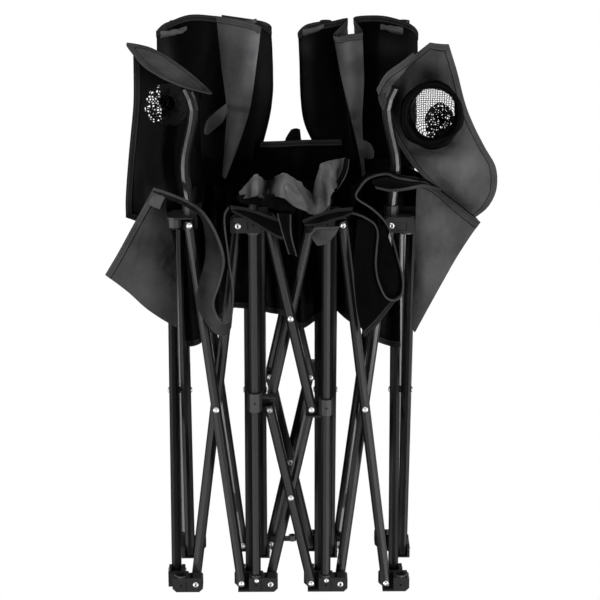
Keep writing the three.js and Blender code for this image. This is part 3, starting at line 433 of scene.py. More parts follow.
def head_mesh():
    """A domed rivet head that looks along +Z."""
    sides = HEAD_SIDES
    points = []
    faces = []
    for share, rise in HEAD_OUTLINE[:-1]:
        for k in range(sides):
            angle = 2 * math.pi * k / sides
            x, y = HEAD * share * math.cos(angle), HEAD * share * math.sin(angle)
            points.append((x, y, HEAD_RISE * rise))
    points.append((0, 0, HEAD_RISE * HEAD_OUTLINE[-1][1]))
    for ring in range(len(HEAD_OUTLINE) - 2):
        for k in range(sides):
            a, b = ring * sides + k, ring * sides + (k + 1) % sides
            faces.append((a, b, b + sides, a + sides))
    last = (len(HEAD_OUTLINE) - 2) * sides
    faces += [(last + k, last + (k + 1) % sides, len(points) - 1) for k in range(sides)]
    faces.append(tuple(reversed(range(sides))))
    mesh = bpy.data.meshes.new("rivet_head")
    mesh.from_pydata(points, [], faces)
    mesh.materials.append(BRIGHT)
    mesh.shade_smooth()
    mesh.set_sharp_from_angle(angle=HEAD_SHARP)
    return mesh


RIVET = head_mesh()


def rivet(name, where, facing, body, size=1.0):
    """One head that stands at a point, looks along a direction and moves with a body."""
    head = bpy.data.objects.new(name, RIVET)
    head.location = where
    head.rotation_euler = Vector(facing).to_track_quat("Z", "Y").to_euler()
    head.scale = (size, size, size)
    scene.collection.objects.link(head)
    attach(head, body)


print("a rivet head has", len(RIVET.polygons), "faces")

# %% [markdown]
# A joint's place and direction come from the packed record. How far its stack of tubes reaches
# isn't in it, so the corners of the meshes close to the axis are searched, and the furthest one
# says where the head sits and which body carries it. At a crossing of two tubes this would find
# the inside of a tube, so there each head goes on the tube of its own side.

# %% Place the rivets
CROSS_REACH = 0.0173
STACK_REACH = 0.03
AXIS_NEAR = 0.0062
BOLT_HEIGHT = 19.5
BOLT_SIZE = 0.8

corners = [
    (n, v.co) for n, node in frame["nodes"].items() if n not in cloth_nodes for v in node.data.vertices
]
heads = 0
for joint in frame["joints"]:
    if joint["type"] != "hinge":
        continue
    middle = Vector(joint["pos_m"])
    axis = Vector((1, 0, 0)) if abs(joint["axis"][0]) > 0.5 else Vector((0, 1, 0))
    for way, end in ((-1, "near"), (1, "far")):
        reach = [(0.0, joint["child"])]
        for node_name, corner in corners:
            off = corner - middle
            along = off.dot(axis) * way
            if 0 < along < STACK_REACH and (off - axis * along * way).length < AXIS_NEAR:
                reach.append((along, node_name))
        far, carrier = max(reach)
        if "cross" in joint["name"]:
            layers = []
            for node_name in (joint["parent"], joint["child"]):
                low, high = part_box(node_name)
                layers.append((((low + high) / 2 - middle).dot(axis) * way, node_name))
            far, carrier = CROSS_REACH, max(layers)[1]
        where = middle + axis * way * far
        rivet(f"rivet_{joint['name']}_{end}", where, axis * way, frame["nodes"][carrier]["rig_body"])
        heads += 1
for side, foot in ((-1, "front_foot_inner_left"), (1, "front_foot_inner_right")):
    low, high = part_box(foot)
    where = point(side * INNER_COLUMN + 1, 0, BOLT_HEIGHT)
    where.y = low.y
    rivet(f"bolt_{foot}", where, (0, -1, 0), foot, BOLT_SIZE)
print(heads, "rivet heads")

# %% [markdown]
# Slack cloth could be dropped by a simulation, but this one has to hang as it hangs in the
# photograph. So each sheet is a small table of points, row by row from the top and left to right,
# and a smooth surface runs through them. Lines crowd at a hem, so that its edge is sharp.

# %% Smooth surface through points
STEP = 7.0
HEM_LINES = (0.12, 0.9, 1.06)


def spline(count, samples):
    """Weights of a smooth curve through count points, one row per sample."""
    if count == 2:
        return np.array([[1 - t, t] for t in samples])
    weights = np.zeros((len(samples), count))
    for row, t in enumerate(samples):
        at = min(t * (count - 1), count - 1 - 1e-9)
        i = int(at)
        f = at - i
        basis = (
            (-f + 2 * f * f - f ** 3) / 2,
            (2 - 5 * f * f + 3 * f ** 3) / 2,
            (f + 4 * f * f - 3 * f ** 3) / 2,
            (f ** 3 - f * f) / 2,
        )
        spots = (i - 1, i, i + 1, i + 2)
        for spot, weight in zip(spots, basis):
            if spot < 0:
                weights[row, 0] += 2 * weight
                weights[row, 1] -= weight
            elif spot > count - 1:
                weights[row, count - 1] += 2 * weight
                weights[row, count - 2] -= weight
            else:
                weights[row, spot] += weight
    return weights


def samples_for(length, hems, step, hem):
    """Shares along one side: even steps, and close lines at a hem."""
    steps = max(4, round(length / step))
    shares = set(np.linspace(0, 1, steps + 1).round(6))
    lines = [share * hem / length for share in HEM_LINES]
    for start in hems:
        shares |= {round(line if start == 0 else 1 - line, 6) for line in lines}
    return sorted(shares)


print("halfway through four points, each weighs", spline(4, (0.5,)).round(3).tolist()[0])

# %% [markdown]
# Wrinkles stand off the surface along its normals. Plain noise makes soft waves, and one minus its
# size makes sharp creases, as in satin. The noise is drawn out in height, because hung cloth folds
# downwards.

# %% Wrinkles
DRAWN_OUT = 0.45


def normals_of(grid):
    along = np.gradient(grid, axis=0)
    across = np.gradient(grid, axis=1)
    normal = np.cross(across, along)
    size = np.linalg.norm(normal, axis=2, keepdims=True)
    return normal / np.maximum(size, 1e-9)


def wrinkle(grid, amount, size, seed, sharp):
    """Standing-off distance at every point, from smooth noise or from sharp creases."""
    start = Vector((seed * 7.3, seed * 3.1, seed * 5.7))
    out = np.zeros(grid.shape[:2])
    for i in range(grid.shape[0]):
        for j in range(grid.shape[1]):
            spot = Vector(grid[i, j] / size) + start
            spot.z *= DRAWN_OUT
            value = noise.noise(spot) + 0.5 * noise.noise(spot * 2.1) + 0.25 * noise.noise(spot * 4.3)
            out[i, j] = 1 - 2.2 * abs(value) if sharp else value
    return out * amount


print("noise at one spot:", round(noise.noise(Vector((0.3, 0.4, 0.5))), 3))

# %% [markdown]
# A table of points becomes a fine grid of them, wrinkles and all. Its lengths are summed from
# point to point along the rows and columns, because hung cloth bends but doesn't stretch: they
# say how big the piece was when it was cut.

# %% Grid of a sheet
def laid_grid(rows, hems, step, hem, wrinkles, sharp):
    """Every point of the hung cloth, and where each column lies from 0 to 1."""
    control = np.array(rows, float)
    tall = np.linalg.norm(np.diff(control, axis=0), axis=2).sum(axis=0).max()
    wide = np.linalg.norm(np.diff(control, axis=1), axis=2).sum(axis=1).max()
    down = samples_for(tall, [s for s, side in ((0, "t"), (1, "b")) if side in hems], step, hem)
    over = samples_for(wide, [s for s, side in ((0, "l"), (1, "r")) if side in hems], step, hem)
    curves = spline(control.shape[0], down), spline(control.shape[1], over)
    grid = np.einsum("ai,bj,ijk->abk", *curves, control)
    return grid + normals_of(grid) * wrinkle(grid, *wrinkles, sharp)[:, :, None], over


def lengths_on(grid):
    """How far every point lies along the cloth from the left side and from the top."""
    step_down = np.linalg.norm(np.diff(grid, axis=0), axis=2)
    step_over = np.linalg.norm(np.diff(grid, axis=1), axis=2)
    v = np.vstack([np.zeros((1, grid.shape[1])), step_down.cumsum(axis=0)])
    u = np.hstack([np.zeros((grid.shape[0], 1)), step_over.cumsum(axis=1)])
    return u, v


def area_of(grid):
    """Square metres, from the two diagonals of every small face."""
    cross = np.cross(grid[1:, 1:] - grid[:-1, :-1], grid[1:, :-1] - grid[:-1, 1:])
    return np.linalg.norm(cross, axis=2).sum() / 2 * MM * MM


square = [[(0, 0, 50), (50, 0, 50)], [(0, 0, 0), (50, 0, 0)]]
trial = laid_grid(square, "", STEP, 10, (1, 45, 0), False)[0]
print("a wrinkled square of 50 mm has", trial.shape[:2], "points and", round(area_of(trial), 5), "m2")

# %% [markdown]
# The shader needs four numbers at every point of a sheet: how near a hemmed edge is, how far along
# it the point lies, how far it is outside a hole, and a factor of painted light on its tone. The
# last one is painted shade below one, which makes deep folds and the shade under a loop as dark
# as they are seen, and a painted highlight above one.

# %% Hems and painted light
FAR_AWAY = 900.0


def hem_distances(hems, u, v):
    """The distance to the nearest hemmed edge, and the length along it."""
    reach = np.full(u.shape, FAR_AWAY)
    run = np.zeros(u.shape)
    sides = {"t": (v, u), "b": (v[-1:] - v, u), "l": (u, v), "r": (u[:, -1:] - u, v)}
    for side, (distance, length) in sides.items():
        if side in hems:
            closer = distance < reach
            reach = np.where(closer, distance, reach)
            run = np.where(closer, length, run)
    return reach, run


# Painted light: soft patches that scale the tone down for painted shade and up for painted highlights.
def painted_light_tone(grid, shade):
    tone = np.full(grid.shape[:2], 1.0)
    for x, z, half_wide, half_tall, kept in shade:
        aside, up = (grid[:, :, 0] - x) / half_wide, (grid[:, :, 2] - z) / half_tall
        tone *= 1 - (1 - kept) * np.exp(-aside ** 2 - up ** 2)
    return tone


print("a point with no hem near it counts as", FAR_AWAY, "mm away")

# %% [markdown]
# A single layer of faces has no edge to see. Real hemmed cloth does, so each sheet gets a front, a
# back and a rim, and is thicker at its turned hems. A Solidify modifier would make the layers as
# well, but not the thicker hem.

# %% Mesh of a sheet
CLOTH_THICK = 0.9
HEM_THICK = 2.4
SHARP_FOLD = math.radians(75)


def layers_and_rim(n, m, reverse):
    """Faces of a closed sheet of n by m points, and the finish of each. reverse: for each column
    of faces, whether its near side shows the cloth's paler reverse, drawn with the lit finish."""
    back = n * m
    quads = []
    finish = []
    for i in range(n - 1):
        for j in range(m - 1):
            a = i * m + j
            quads.append((a, a + m, a + m + 1, a + 1))
            quads.append((a + back, a + back + 1, a + back + m + 1, a + back + m))
            finish += [1, 2 if reverse[j] else 0]
    border = [j for j in range(m - 1)] + [i * m + m - 1 for i in range(n - 1)]
    border += [(n - 1) * m + j for j in range(m - 1, 0, -1)] + [i * m for i in range(n - 1, 0, -1)]
    for a, b in zip(border, border[1:] + border[:1]):
        quads.append((a, b, b + back, a + back))
    return quads, finish + [0] * (len(quads) - len(finish))


def cloth_mesh(name, grid, reach, hem, reverse, finishes):
    """A closed mesh about a grid of points, thicker where a hemmed edge is near."""
    thick = np.where(reach < 0.95 * hem, HEM_THICK, CLOTH_THICK) / 2
    normal = normals_of(grid)
    front = grid + normal * thick[:, :, None]
    back = grid - normal * thick[:, :, None]
    points = place(np.concatenate([front.reshape(-1, 3), back.reshape(-1, 3)]))
    quads, finish = layers_and_rim(*reach.shape, reverse)
    mesh = bpy.data.meshes.new(name)
    mesh.from_pydata(points.tolist(), [], quads)
    for material in finishes:
        mesh.materials.append(material)
    mesh.polygons.foreach_set("material_index", finish)
    mesh.shade_smooth()
    mesh.set_sharp_from_angle(angle=SHARP_FOLD)
    return mesh


def keep_numbers(mesh, u, v, numbers):
    """The lengths as a UV map, and the other numbers by name, on the front and the back alike."""
    lengths = np.stack([u, v], axis=2).reshape(-1, 2) * MM
    lengths = np.concatenate([lengths, lengths])
    corner = np.zeros(len(mesh.loops), np.int32)
    mesh.loops.foreach_get("vertex_index", corner)
    mesh.uv_layers.new(name="lengths").data.foreach_set("uv", lengths[corner].ravel())
    for label, values in numbers.items():
        both = np.concatenate([values.ravel(), values.ravel()]) * MM
        mesh.attributes.new(label, "FLOAT", "POINT").data.foreach_set("value", both)


print("cloth is", CLOTH_THICK, "mm thick, and", HEM_THICK, "mm at a hem")

# %% [markdown]
# One call now makes a piece of cloth: the grid, the mesh, the numbers for the shader, and the
# flat size, which is its length along the surface both ways. It prints what it made.

# %% Sheet builder
def sheet(name, rows, hems="", near=None, far=None, light=(), hole=None, wrinkles=(1.6, 45, 0),
          sharp=False, shade=(), step=STEP, hem=10.0):
    """rows: points from the top row down. hems: any of t, b, l, r. hem: how wide it is.
    near and far: the two faces' finishes. light: ranges of columns whose near face shows the
    cloth's paler reverse, drawn with the lit finish. hole: x, z and radius. wrinkles: height,
    size and seed. shade: soft patches of painted light, each x, z, half width, half height and
    the factor on the tone, which darkens it below one and brightens it above one."""
    grid, over = laid_grid(rows, hems, step, hem, wrinkles, sharp)
    u, v = lengths_on(grid)
    reach, run = hem_distances(hems, u, v)
    bands = [[column / (len(rows[0]) - 1) for column in ends] for ends in light]
    middles = [(a + b) / 2 for a, b in zip(over, over[1:])]
    reverse = [any(low < middle < high for low, high in bands) for middle in middles]
    finishes = (near or CLOTH, far or near or CLOTH, LIT_REVERSE)
    mesh = cloth_mesh(name, grid, reach, hem, reverse, finishes)
    outside = np.full(reach.shape, FAR_AWAY)
    if hole:
        outside = np.hypot(grid[:, :, 0] - hole[0], grid[:, :, 2] - hole[1]) - hole[2]
    keep_numbers(mesh, u, v, {
        "edge": reach * (HEM / MM / hem), "run": run, "hole": outside,
        "shade": painted_light_tone(grid, shade) / MM,
    })
    made = bpy.data.objects.new(name, mesh)
    scene.collection.objects.link(made)
    flat, area = (u.max() * MM, v.max() * MM), area_of(grid)
    min(area, flat[0] * flat[1])
    size = f"{flat[0]:.3f} x {flat[1]:.3f} m, {area:.4f} m2"
    print(f"{name}: {size}, {len(mesh.vertices)} points")
    return made


print("sheet builder ready, a point every", STEP, "mm")

# %% [markdown]
# The backrest is two panels. Each runs over its two rear posts in sleeves, and the slack between
# the posts is folded forward in one deep pleat, whose inside shows the paler reverse, drawn with
# the lit finish. Painted shade darkens its folds and painted highlights run down the pleats'
# ridges. A front view can't tell the depth of a pleat, so each panel is drawn as a plan seen from
# above, at five heights. The top edge also rises and falls.

# %% Plans of the back panels
back_left_plan = {
    889: [
        (-160, 89), (-190, 88), (-204, 78), (-188, 68), (-154, 70), (-113, 66), (-75, 52), (-44, 35),
        (-58, 48), (-72, 60), (-48, 66), (-30, 76), (-40, 87), (-104, 89),
    ],
    822: [
        (-160, 89), (-190, 88), (-204, 78), (-188, 68), (-150, 68), (-106, 62), (-80, 50), (-51, 36),
        (-60, 47), (-70, 60), (-47, 66), (-27, 76), (-40, 87), (-104, 89),
    ],
    757: [
        (-160, 89), (-188, 88), (-199, 78), (-187, 68), (-152, 68), (-99, 58), (-80, 48), (-61, 36),
        (-66, 47), (-72, 60), (-48, 66), (-29, 76), (-42, 87), (-104, 89),
    ],
    703: [
        (-160, 89), (-188, 88), (-199, 78), (-187, 68), (-155, 68), (-101, 56), (-90, 47), (-78, 37),
        (-78, 47), (-80, 60), (-56, 66), (-40, 74), (-50, 86), (-104, 89),
    ],
    645: [
        (-160, 89), (-194, 88), (-208, 78), (-190, 68), (-158, 66), (-106, 55), (-103, 48), (-99, 42),
        (-98, 48), (-96, 60), (-74, 64), (-60, 66), (-66, 86), (-104, 89),
    ],
}
back_left_rise = [-2, -9, -20, -6, 7, 6, 3, -4, -5, -5, -1, -16, -7, 3]
back_right_plan = {
    886: [
        (60, 89), (26, 88), (14, 78), (30, 68), (60, 66), (88, 70), (82, 58), (68, 46), (74, 40),
        (90, 42), (108, 46), (102, 62), (98, 74), (118, 74), (150, 70), (186, 68), (195, 78),
        (182, 88), (150, 89),
    ],
    800: [
        (60, 89), (28, 88), (16, 78), (30, 68), (60, 66), (90, 66), (86, 58), (80, 46), (86, 42),
        (98, 42), (112, 46), (106, 60), (102, 72), (120, 72), (150, 70), (186, 68), (195, 78),
        (182, 88), (150, 89),
    ],
    735: [
        (62, 89), (32, 88), (20, 78), (34, 68), (62, 66), (92, 64), (92, 57), (94, 47), (98, 43),
        (104, 43), (111, 47), (108, 60), (104, 70), (122, 70), (150, 70), (186, 68), (195, 78),
        (182, 88), (150, 89),
    ],
    690: [
        (70, 89), (48, 88), (36, 78), (46, 68), (70, 65), (96, 62), (100, 57), (106, 50), (108, 47),
        (110, 47), (113, 50), (112, 60), (108, 68), (124, 68), (150, 68), (186, 68), (195, 78),
        (182, 88), (150, 89),
    ],
    645: [
        (80, 89), (62, 88), (52, 78), (60, 68), (80, 64), (100, 60), (106, 57), (112, 54), (114, 52),
        (116, 52), (118, 54), (116, 60), (114, 66), (128, 66), (152, 66), (186, 68), (195, 78),
        (182, 88), (150, 89),
    ],
}
back_right_rise = [-2, -9, -20, -6, 0, 5, -2, -14, -17, -14, -12, -2, 5, 8, 7, -5, -22, -9, 2]


def from_plan(plan, rise):
    """Rows of points from plan paths at each height. The top row follows its own rise."""
    rows = [[(x, y, height) for x, y in path] for height, path in plan.items()]
    rows[0] = [(x, y, z + lift) for (x, y, z), lift in zip(rows[0], rise)]
    return rows


print(len(back_left_rise), "and", len(back_right_rise), "points on each level")

# %% [markdown]
# Each panel stays where it is drawn, and doesn't follow the frame when the chair opens.

# %% Back panels
back_left = sheet(
    "back_cloth_left", from_plan(back_left_plan, back_left_rise),
    hems="t", far=LIT_REVERSE, light=[(5, 7)], wrinkles=(2.2, 60, 1),
    step=5,
    shade=[
        (-112, 830, 14, 60, 0.35), (-72, 757, 60, 3, 0.6), (-68, 752, 60, 2, 0.7),
        (-58, 846, 26, 10, 0.8), (-100, 700, 10, 60, 0.6), (-60, 845, 8, 36, 1.8),
        (-66, 800, 8, 40, 1.8), (-78, 745, 8, 34, 1.6), (-188, 820, 10, 40, 14), (-38, 820, 12, 50, 8),
    ],
)
back_right = sheet(
    "back_cloth_right", from_plan(back_right_plan, back_right_rise),
    hems="t", far=LIT_REVERSE, light=[(7, 10)], wrinkles=(2.2, 60, 2),
    step=5,
    shade=[
        (70, 830, 7, 60, 0.5), (86, 845, 7, 40, 1.7), (93, 790, 7, 50, 1.7), (104, 730, 7, 30, 1.4),
        (24, 845, 10, 14, 10), (150, 850, 24, 16, 9),
    ],
)
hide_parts("back_panel_left")
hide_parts("back_panel_right")
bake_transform(back_left)
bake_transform(back_right)

# %% [markdown]
# A plain band joins the two panels low down, with a small tab that stands up from its edge.

# %% Band and tab
band = sheet(
    "back_band_cloth",
    [
        [(-44, 60, 700), (-20, 58, 701), (0, 57, 702), (20, 57, 703), (50, 58, 703), (80, 60, 703)],
        [(-50, 60, 680), (-22, 55, 680), (0, 58, 680), (24, 54, 680), (52, 57, 680), (82, 60, 680)],
        [(-56, 58, 618), (-24, 53, 618), (0, 58, 618), (26, 52, 618), (54, 57, 618), (84, 60, 618)],
    ],
    hems="t", wrinkles=(1.6, 40, 3),
)
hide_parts("back_band")
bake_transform(band)

band_tab = sheet(
    "back_band_tab",
    [
        [(2, 63, 718), (7, 62, 720), (12, 62, 720), (16, 63, 718)],
        [(-6, 63, 705), (3, 61, 706), (12, 61, 707), (17, 63, 706)],
        [(-10, 62, 690), (2, 60, 690), (12, 60, 690), (19, 62, 690)],
    ],
    wrinkles=(0.6, 15, 23),
)
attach(band_tab, "back_band")

# %% [markdown]
# Small turned-over corners, the lower edges of the panels and the gathers at the caps of the posts
# are pieces of their own: they lie on the big panels, and one sheet can't lie on itself.

# %% Folds, hems and gathers of the back
# The turned-over pieces show the cloth's paler reverse, drawn with the lit finish.
back_fold = sheet(
    "back_fold_left",
    [
        [(-97, 50, 763), (-96, 49, 757), (-96, 50, 750)],
        [(-114, 48, 750), (-108, 46, 742), (-103, 49, 734)],
        [(-128, 50, 735), (-124, 48, 728), (-116, 50, 722)],
        [(-132, 52, 716), (-130, 51, 714), (-127, 52, 713)],
    ],
    near=LIT_REVERSE, wrinkles=(0.8, 15, 24),
)
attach(back_fold, "back_panel_left")

for side, left, right in (("left", -198, -58), ("right", 58, 190)):
    middle_x = (left + right) / 2
    hem = sheet(
        f"back_hem_{side}",
        [
            [(left, 60, 672), (middle_x - 30, 54, 672), (middle_x + 30, 60, 672), (right, 56, 672)],
            [(left, 58, 645), (middle_x - 30, 56, 645), (middle_x + 30, 58, 645), (right, 56, 645)],
            [(left, 58, 619), (middle_x - 30, 58, 622), (middle_x + 30, 56, 618), (right, 57, 622)],
        ],
        wrinkles=(1.2, 30, 26),
    )
    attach(hem, f"back_panel_{side}")

# The gathers show the lit finish, with painted shade under each.
gathers = [
    ("left", -196, 869, 40, 1), ("left", -72, 884, 22, 0),
    ("right", 20, 872, 32, 1), ("right", 172, 874, -34, 0),
]
for number, (side, x, z, reach, up) in enumerate(gathers):
    gather = sheet(
        f"back_gather_{side}_{number}",
        [
            [(x, 58, z + 4), (x + reach * 0.5, 57, z + 7), (x + reach, 58, z + 9 + up * 3)],
            [(x, 55, z - 1), (x + reach * 0.5, 52, z + 2), (x + reach, 56, z + 6 + up * 3)],
            [(x, 57, z - 6), (x + reach * 0.5, 55, z - 2), (x + reach, 57, z + 3 + up * 3)],
        ],
        near=LIT_REVERSE, wrinkles=(1.6, 9, 31 + number), sharp=True, step=3.0,
        shade=[(x + reach * 0.5, z - 4, 20, 4, 0.2)],
    )
    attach(gather, f"back_panel_{side}")

back_knot = sheet(
    "back_fold_right",
    [
        [(108, 44, 706), (116, 40, 706), (124, 44, 700)],
        [(106, 44, 692), (118, 38, 692), (130, 44, 688)],
        [(112, 45, 678), (121, 42, 676), (129, 45, 677)],
    ],
    near=LIT_REVERSE, wrinkles=(1.4, 14, 28),
)
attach(back_knot, "back_panel_right")

# %% [markdown]
# The left armrest is seen from its end, as a narrow leaf with a panel that hangs behind it. The
# panel has a round hole for the cup holder, which the shader cuts with the piece's alpha, because
# a cut in the mesh would break the rows of the weave.

# %% Left armrest
# The leaf shows the cloth's paler reverse, drawn with the lit finish, with painted shade at its ends;
# the panel behind it has a few painted sheen patches.
arm_left_top = sheet(
    "armrest_left_top",
    [
        [(-238, -76, 884), (-205, -50, 871), (-172, -46, 850), (-145, -50, 830), (-116, -78, 811)],
        [(-238, -78, 883), (-204, -76, 863), (-172, -74, 842), (-144, -76, 822), (-115, -80, 810)],
        [(-238, -80, 881), (-216, -98, 858), (-186, -101, 838), (-155, -100, 824), (-115, -82, 809)],
    ],
    hems="tb", near=LIT_REVERSE, wrinkles=(1.0, 30, 4),
    shade=[(-236, 880, 10, 12, 0.4), (-120, 812, 14, 10, 0.5), (-150, 828, 30, 6, 0.8)],
)
arm_left_panel = sheet(
    "armrest_left_panel",
    [
        [(-229, -64, 868), (-205, -52, 868), (-175, -48, 851), (-150, -50, 832), (-128, -56, 818)],
        [(-231, -66, 795), (-205, -54, 795), (-178, -46, 790), (-152, -40, 780), (-134, -40, 770)],
        [(-239, -68, 719), (-210, -56, 715), (-180, -46, 712), (-150, -40, 712), (-134, -38, 710)],
        [(-246, -70, 650), (-214, -58, 645), (-182, -48, 645), (-152, -40, 648), (-134, -38, 650)],
        [(-247, -70, 617), (-222, -60, 607), (-186, -48, 610), (-152, -40, 616), (-134, -38, 622)],
    ],
    hems="lb", hole=(-183.5, 785, 32), wrinkles=(2.2, 50, 5),
    shade=[(-236, 690, 12, 26, 12), (-220, 640, 24, 18, 9), (-178, 650, 16, 20, 6)],
)
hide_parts("armrest_left")
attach(arm_left_top, "front_hub_outer_left")
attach(arm_left_panel, "front_hub_outer_left")

# %% [markdown]
# The right armrest has flopped round to the front and shows its paler reverse, drawn with the lit
# finish. Painted shade darkens its top, its folds and the cloth round its hole, where the pouch
# behind it takes the light away, and one painted highlight lies low down. A loop runs from it to
# the bent post, with painted shade of its own.

# %% Right armrest
arm_right = sheet(
    "armrest_right_panel",
    [
        [(205, -62, 881), (214, -64, 880), (224, -64, 879), (233, -60, 878)],
        [(169, -60, 850), (194, -66, 844), (222, -68, 838), (247, -60, 834)],
        [(132, -56, 810), (166, -59, 803), (218, -70, 795), (259, -59, 790)],
        [(139, -56, 772), (174, -60, 766), (228, -70, 760), (272, -58, 757)],
        [(157, -57, 733), (196, -64, 729), (246, -68, 724), (290, -57, 722)],
        [(183, -58, 694), (224, -68, 692), (268, -66, 690), (308, -56, 690)],
        [(214, -59, 662), (248, -68, 659), (280, -64, 657), (310, -56, 656)],
        [(243, -58, 634), (264, -63, 632), (284, -60, 631), (299, -56, 630)],
        [(271, -58, 614), (274, -58, 613), (277, -58, 613), (281, -57, 614)],
    ],
    hems="lrt", near=LIT_REVERSE, far=CLOTH, hole=(209, 775, 38), wrinkles=(1.8, 55, 6),
    shade=[
        (205, 832, 32, 24, 0.03), (209, 775, 58, 54, 0.30), (152, 790, 18, 40, 0.2),
        (208, 716, 34, 6, 0.35), (232, 728, 20, 7, 0.2), (178, 712, 14, 7, 0.3),
        (225, 868, 26, 10, 0.8), (268, 628, 12, 12, 0.5), (250, 690, 30, 30, 1.6),
    ],
)
arm_loop = sheet(
    "armrest_right_loop",
    [
        [(127, -78, 815), (140, -81, 839), (161, -80, 855), (180, -72, 868)],
        [(131, -80, 804), (145, -83, 824), (165, -81, 844), (182, -71, 863)],
        [(134, -78, 801), (148, -81, 820), (167, -79, 841), (183, -69, 861)],
    ],
    hems="t", near=LIT_REVERSE, far=CLOTH, wrinkles=(0.8, 22, 27),
    shade=[(130, 803, 16, 16, 0.2), (156, 826, 24, 9, 0.4)],
)
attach(arm_loop, "front_hub_outer_right")
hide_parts("armrest_right")
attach(arm_right, "front_hub_outer_right")

# %% [markdown]
# A cup holder is a pouch of netting that hangs from a soft black ring. It is round, so it is turned
# from rings like a pot, with a small ripple in each ring so that it looks sewn.

# %% Round cloth
ROUND_SIDES = 48


def round_cloth(name, centre, rings, body, inner):
    """A dish of cloth. rings: half width, half height, y, step aside, step up, and 1 for a net."""
    sides = ROUND_SIDES
    points = []
    lengths = []
    for ring, (wide, tall, y, aside, up, kind) in enumerate(rings):
        for k in range(sides):
            angle = 2 * math.pi * k / sides
            ripple = 1 + 0.025 * math.sin(5 * angle + ring) + 0.015 * math.sin(9 * angle + 2 * ring)
            x = centre[0] + aside + wide * ripple * math.cos(angle)
            z = centre[1] + up + tall * ripple * math.sin(angle)
            points.append((x, y, z))
            lengths.append((x * MM, z * MM))
    faces = []
    kinds = []
    for ring in range(len(rings) - 1):
        for k in range(sides):
            a, b = ring * sides + k, ring * sides + (k + 1) % sides
            faces.append((a, b, b + sides, a + sides))
            kinds.append(rings[ring + 1][5])
    faces.append(tuple(reversed([(len(rings) - 1) * sides + k for k in range(sides)])))
    kinds.append(rings[-1][5])
    mesh = bpy.data.meshes.new(name)
    mesh.from_pydata(place(points).tolist(), [], faces)
    layer = mesh.uv_layers.new(name="lengths")
    for loop in mesh.loops:
        layer.data[loop.index].uv = lengths[loop.vertex_index]
    # Each number is 0.9: far from any hem, outside any hole, and a slight painted shade on the tone.
    for label in ("edge", "run", "hole", "shade"):
        mesh.attributes.new(label, "FLOAT", "POINT").data.foreach_set("value", [0.9] * len(points))
    for material in (CLOTH, inner):
        mesh.materials.append(material)
    mesh.polygons.foreach_set("material_index", kinds)
    mesh.shade_smooth()
    made = bpy.data.objects.new(name, mesh)
    scene.collection.objects.link(made)
    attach(made, body)
    print(name, "has", len(faces), "faces")


print("round cloth with", ROUND_SIDES, "sides")

# %% [markdown]
# The white ground shines through the net, and the doubled lower part of the pouch has coarser,
# uneven cells. The hole of the left armrest shows the same coarse net.

# %% Pouches and nets
round_cloth(
    "cup_pouch", (209, 775),
    [
        (41, 46, -68, 0, 0, 0), (46, 50, -71, 0, 0, 0), (47, 51, -76, 0, -1, 0), (43, 46, -80, 0, 0, 0),
        (37, 41, -77, 2, 1, 0), (32, 38, -66, 3, 2, 0), (31, 37, -52, 3, 2, 1), (27, 31, -42, 3, 2, 1),
        (18, 20, -37, 3, 2, 1), (6, 7, -35, 3, 2, 1),
    ],
    "front_hub_outer_right", NET,
)
round_cloth(
    "cup_pouch_doubled", (223, 757),
    [(22, 30, -48, 0, 0, 1), (17, 24, -46, 1, -2, 1), (8, 11, -45, 2, -3, 1)],
    "front_hub_outer_right", THICK_NET,
)
round_cloth(
    "armrest_left_net", (-183.5, 785),
    [(34, 34, -46, 0, 0, 1), (26, 26, -43, 0, 0, 1), (12, 12, -41, 0, 0, 1)],
    "front_hub_outer_left", THICK_NET,
)

# %% [markdown]
# Outside the frame hang two flaps with their paler reverse to the front, drawn with the lit
# finish. Both turn away from the frame, so their inner parts fall into its shade, which is
# painted on them, and a small painted highlight lies on the right one.

# %% Side flaps
flap_left = sheet(
    "side_flap_cloth_left",
    [
        [(-203, -87, 668), (-200, -88, 665), (-196, -88, 663), (-192, -89, 660), (-187, -89, 658)],
        [(-228, -84, 622), (-216, -88, 617), (-205, -86, 613), (-194, -88, 615), (-183, -87, 617)],
        [(-254, -81, 574), (-234, -86, 565), (-213, -81, 557), (-190, -85, 556), (-172, -87, 560)],
        [(-280, -78, 529), (-246, -76, 500), (-222, -73, 475), (-197, -72, 456), (-173, -87, 447)],
    ],
    hems="l", near=LIT_REVERSE, far=CLOTH, wrinkles=(1.6, 55, 7),
    shade=[
        (-174, 540, 19, 110, 0.04), (-192, 640, 18, 34, 0.06), (-186, 460, 24, 30, 0.4),
        (-196, 560, 16, 70, 0.5), (-225, 540, 300, 300, 0.72),
    ],
)
flap_right = sheet(
    "side_flap_cloth_right",
    [
        [(188, -90, 682), (215, -88, 668), (247, -86, 640), (284, -84, 611)],
        [(187, -90, 630), (212, -88, 620), (240, -84, 606), (268, -82, 586)],
        [(187, -86, 565), (206, -84, 560), (228, -82, 556), (248, -80, 550)],
        [(186, -80, 500), (198, -79, 497), (210, -77, 494), (220, -76, 493)],
        [(185, -74, 440), (187, -73, 437), (189, -72, 434), (191, -71, 432)],
    ],
    hems="t", near=LIT_REVERSE, far=CLOTH, wrinkles=(1.6, 55, 8),
    shade=[
        (185, 540, 12, 110, 0.05), (195, 520, 8, 50, 0.6), (198, 640, 16, 20, 0.7),
        (225, 600, 30, 40, 1.1),
    ],
)
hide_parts("side_flap_left")
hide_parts("side_flap_right")
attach(flap_left, "front_hub_outer_left")
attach(flap_right, "front_hub_outer_right")

# %% [markdown]
# The front hem of each seat drops into a loop beside the frame. A loop is one long strip, so its
# table has only three rows and many columns. The right one carries on outwards under the armrest.

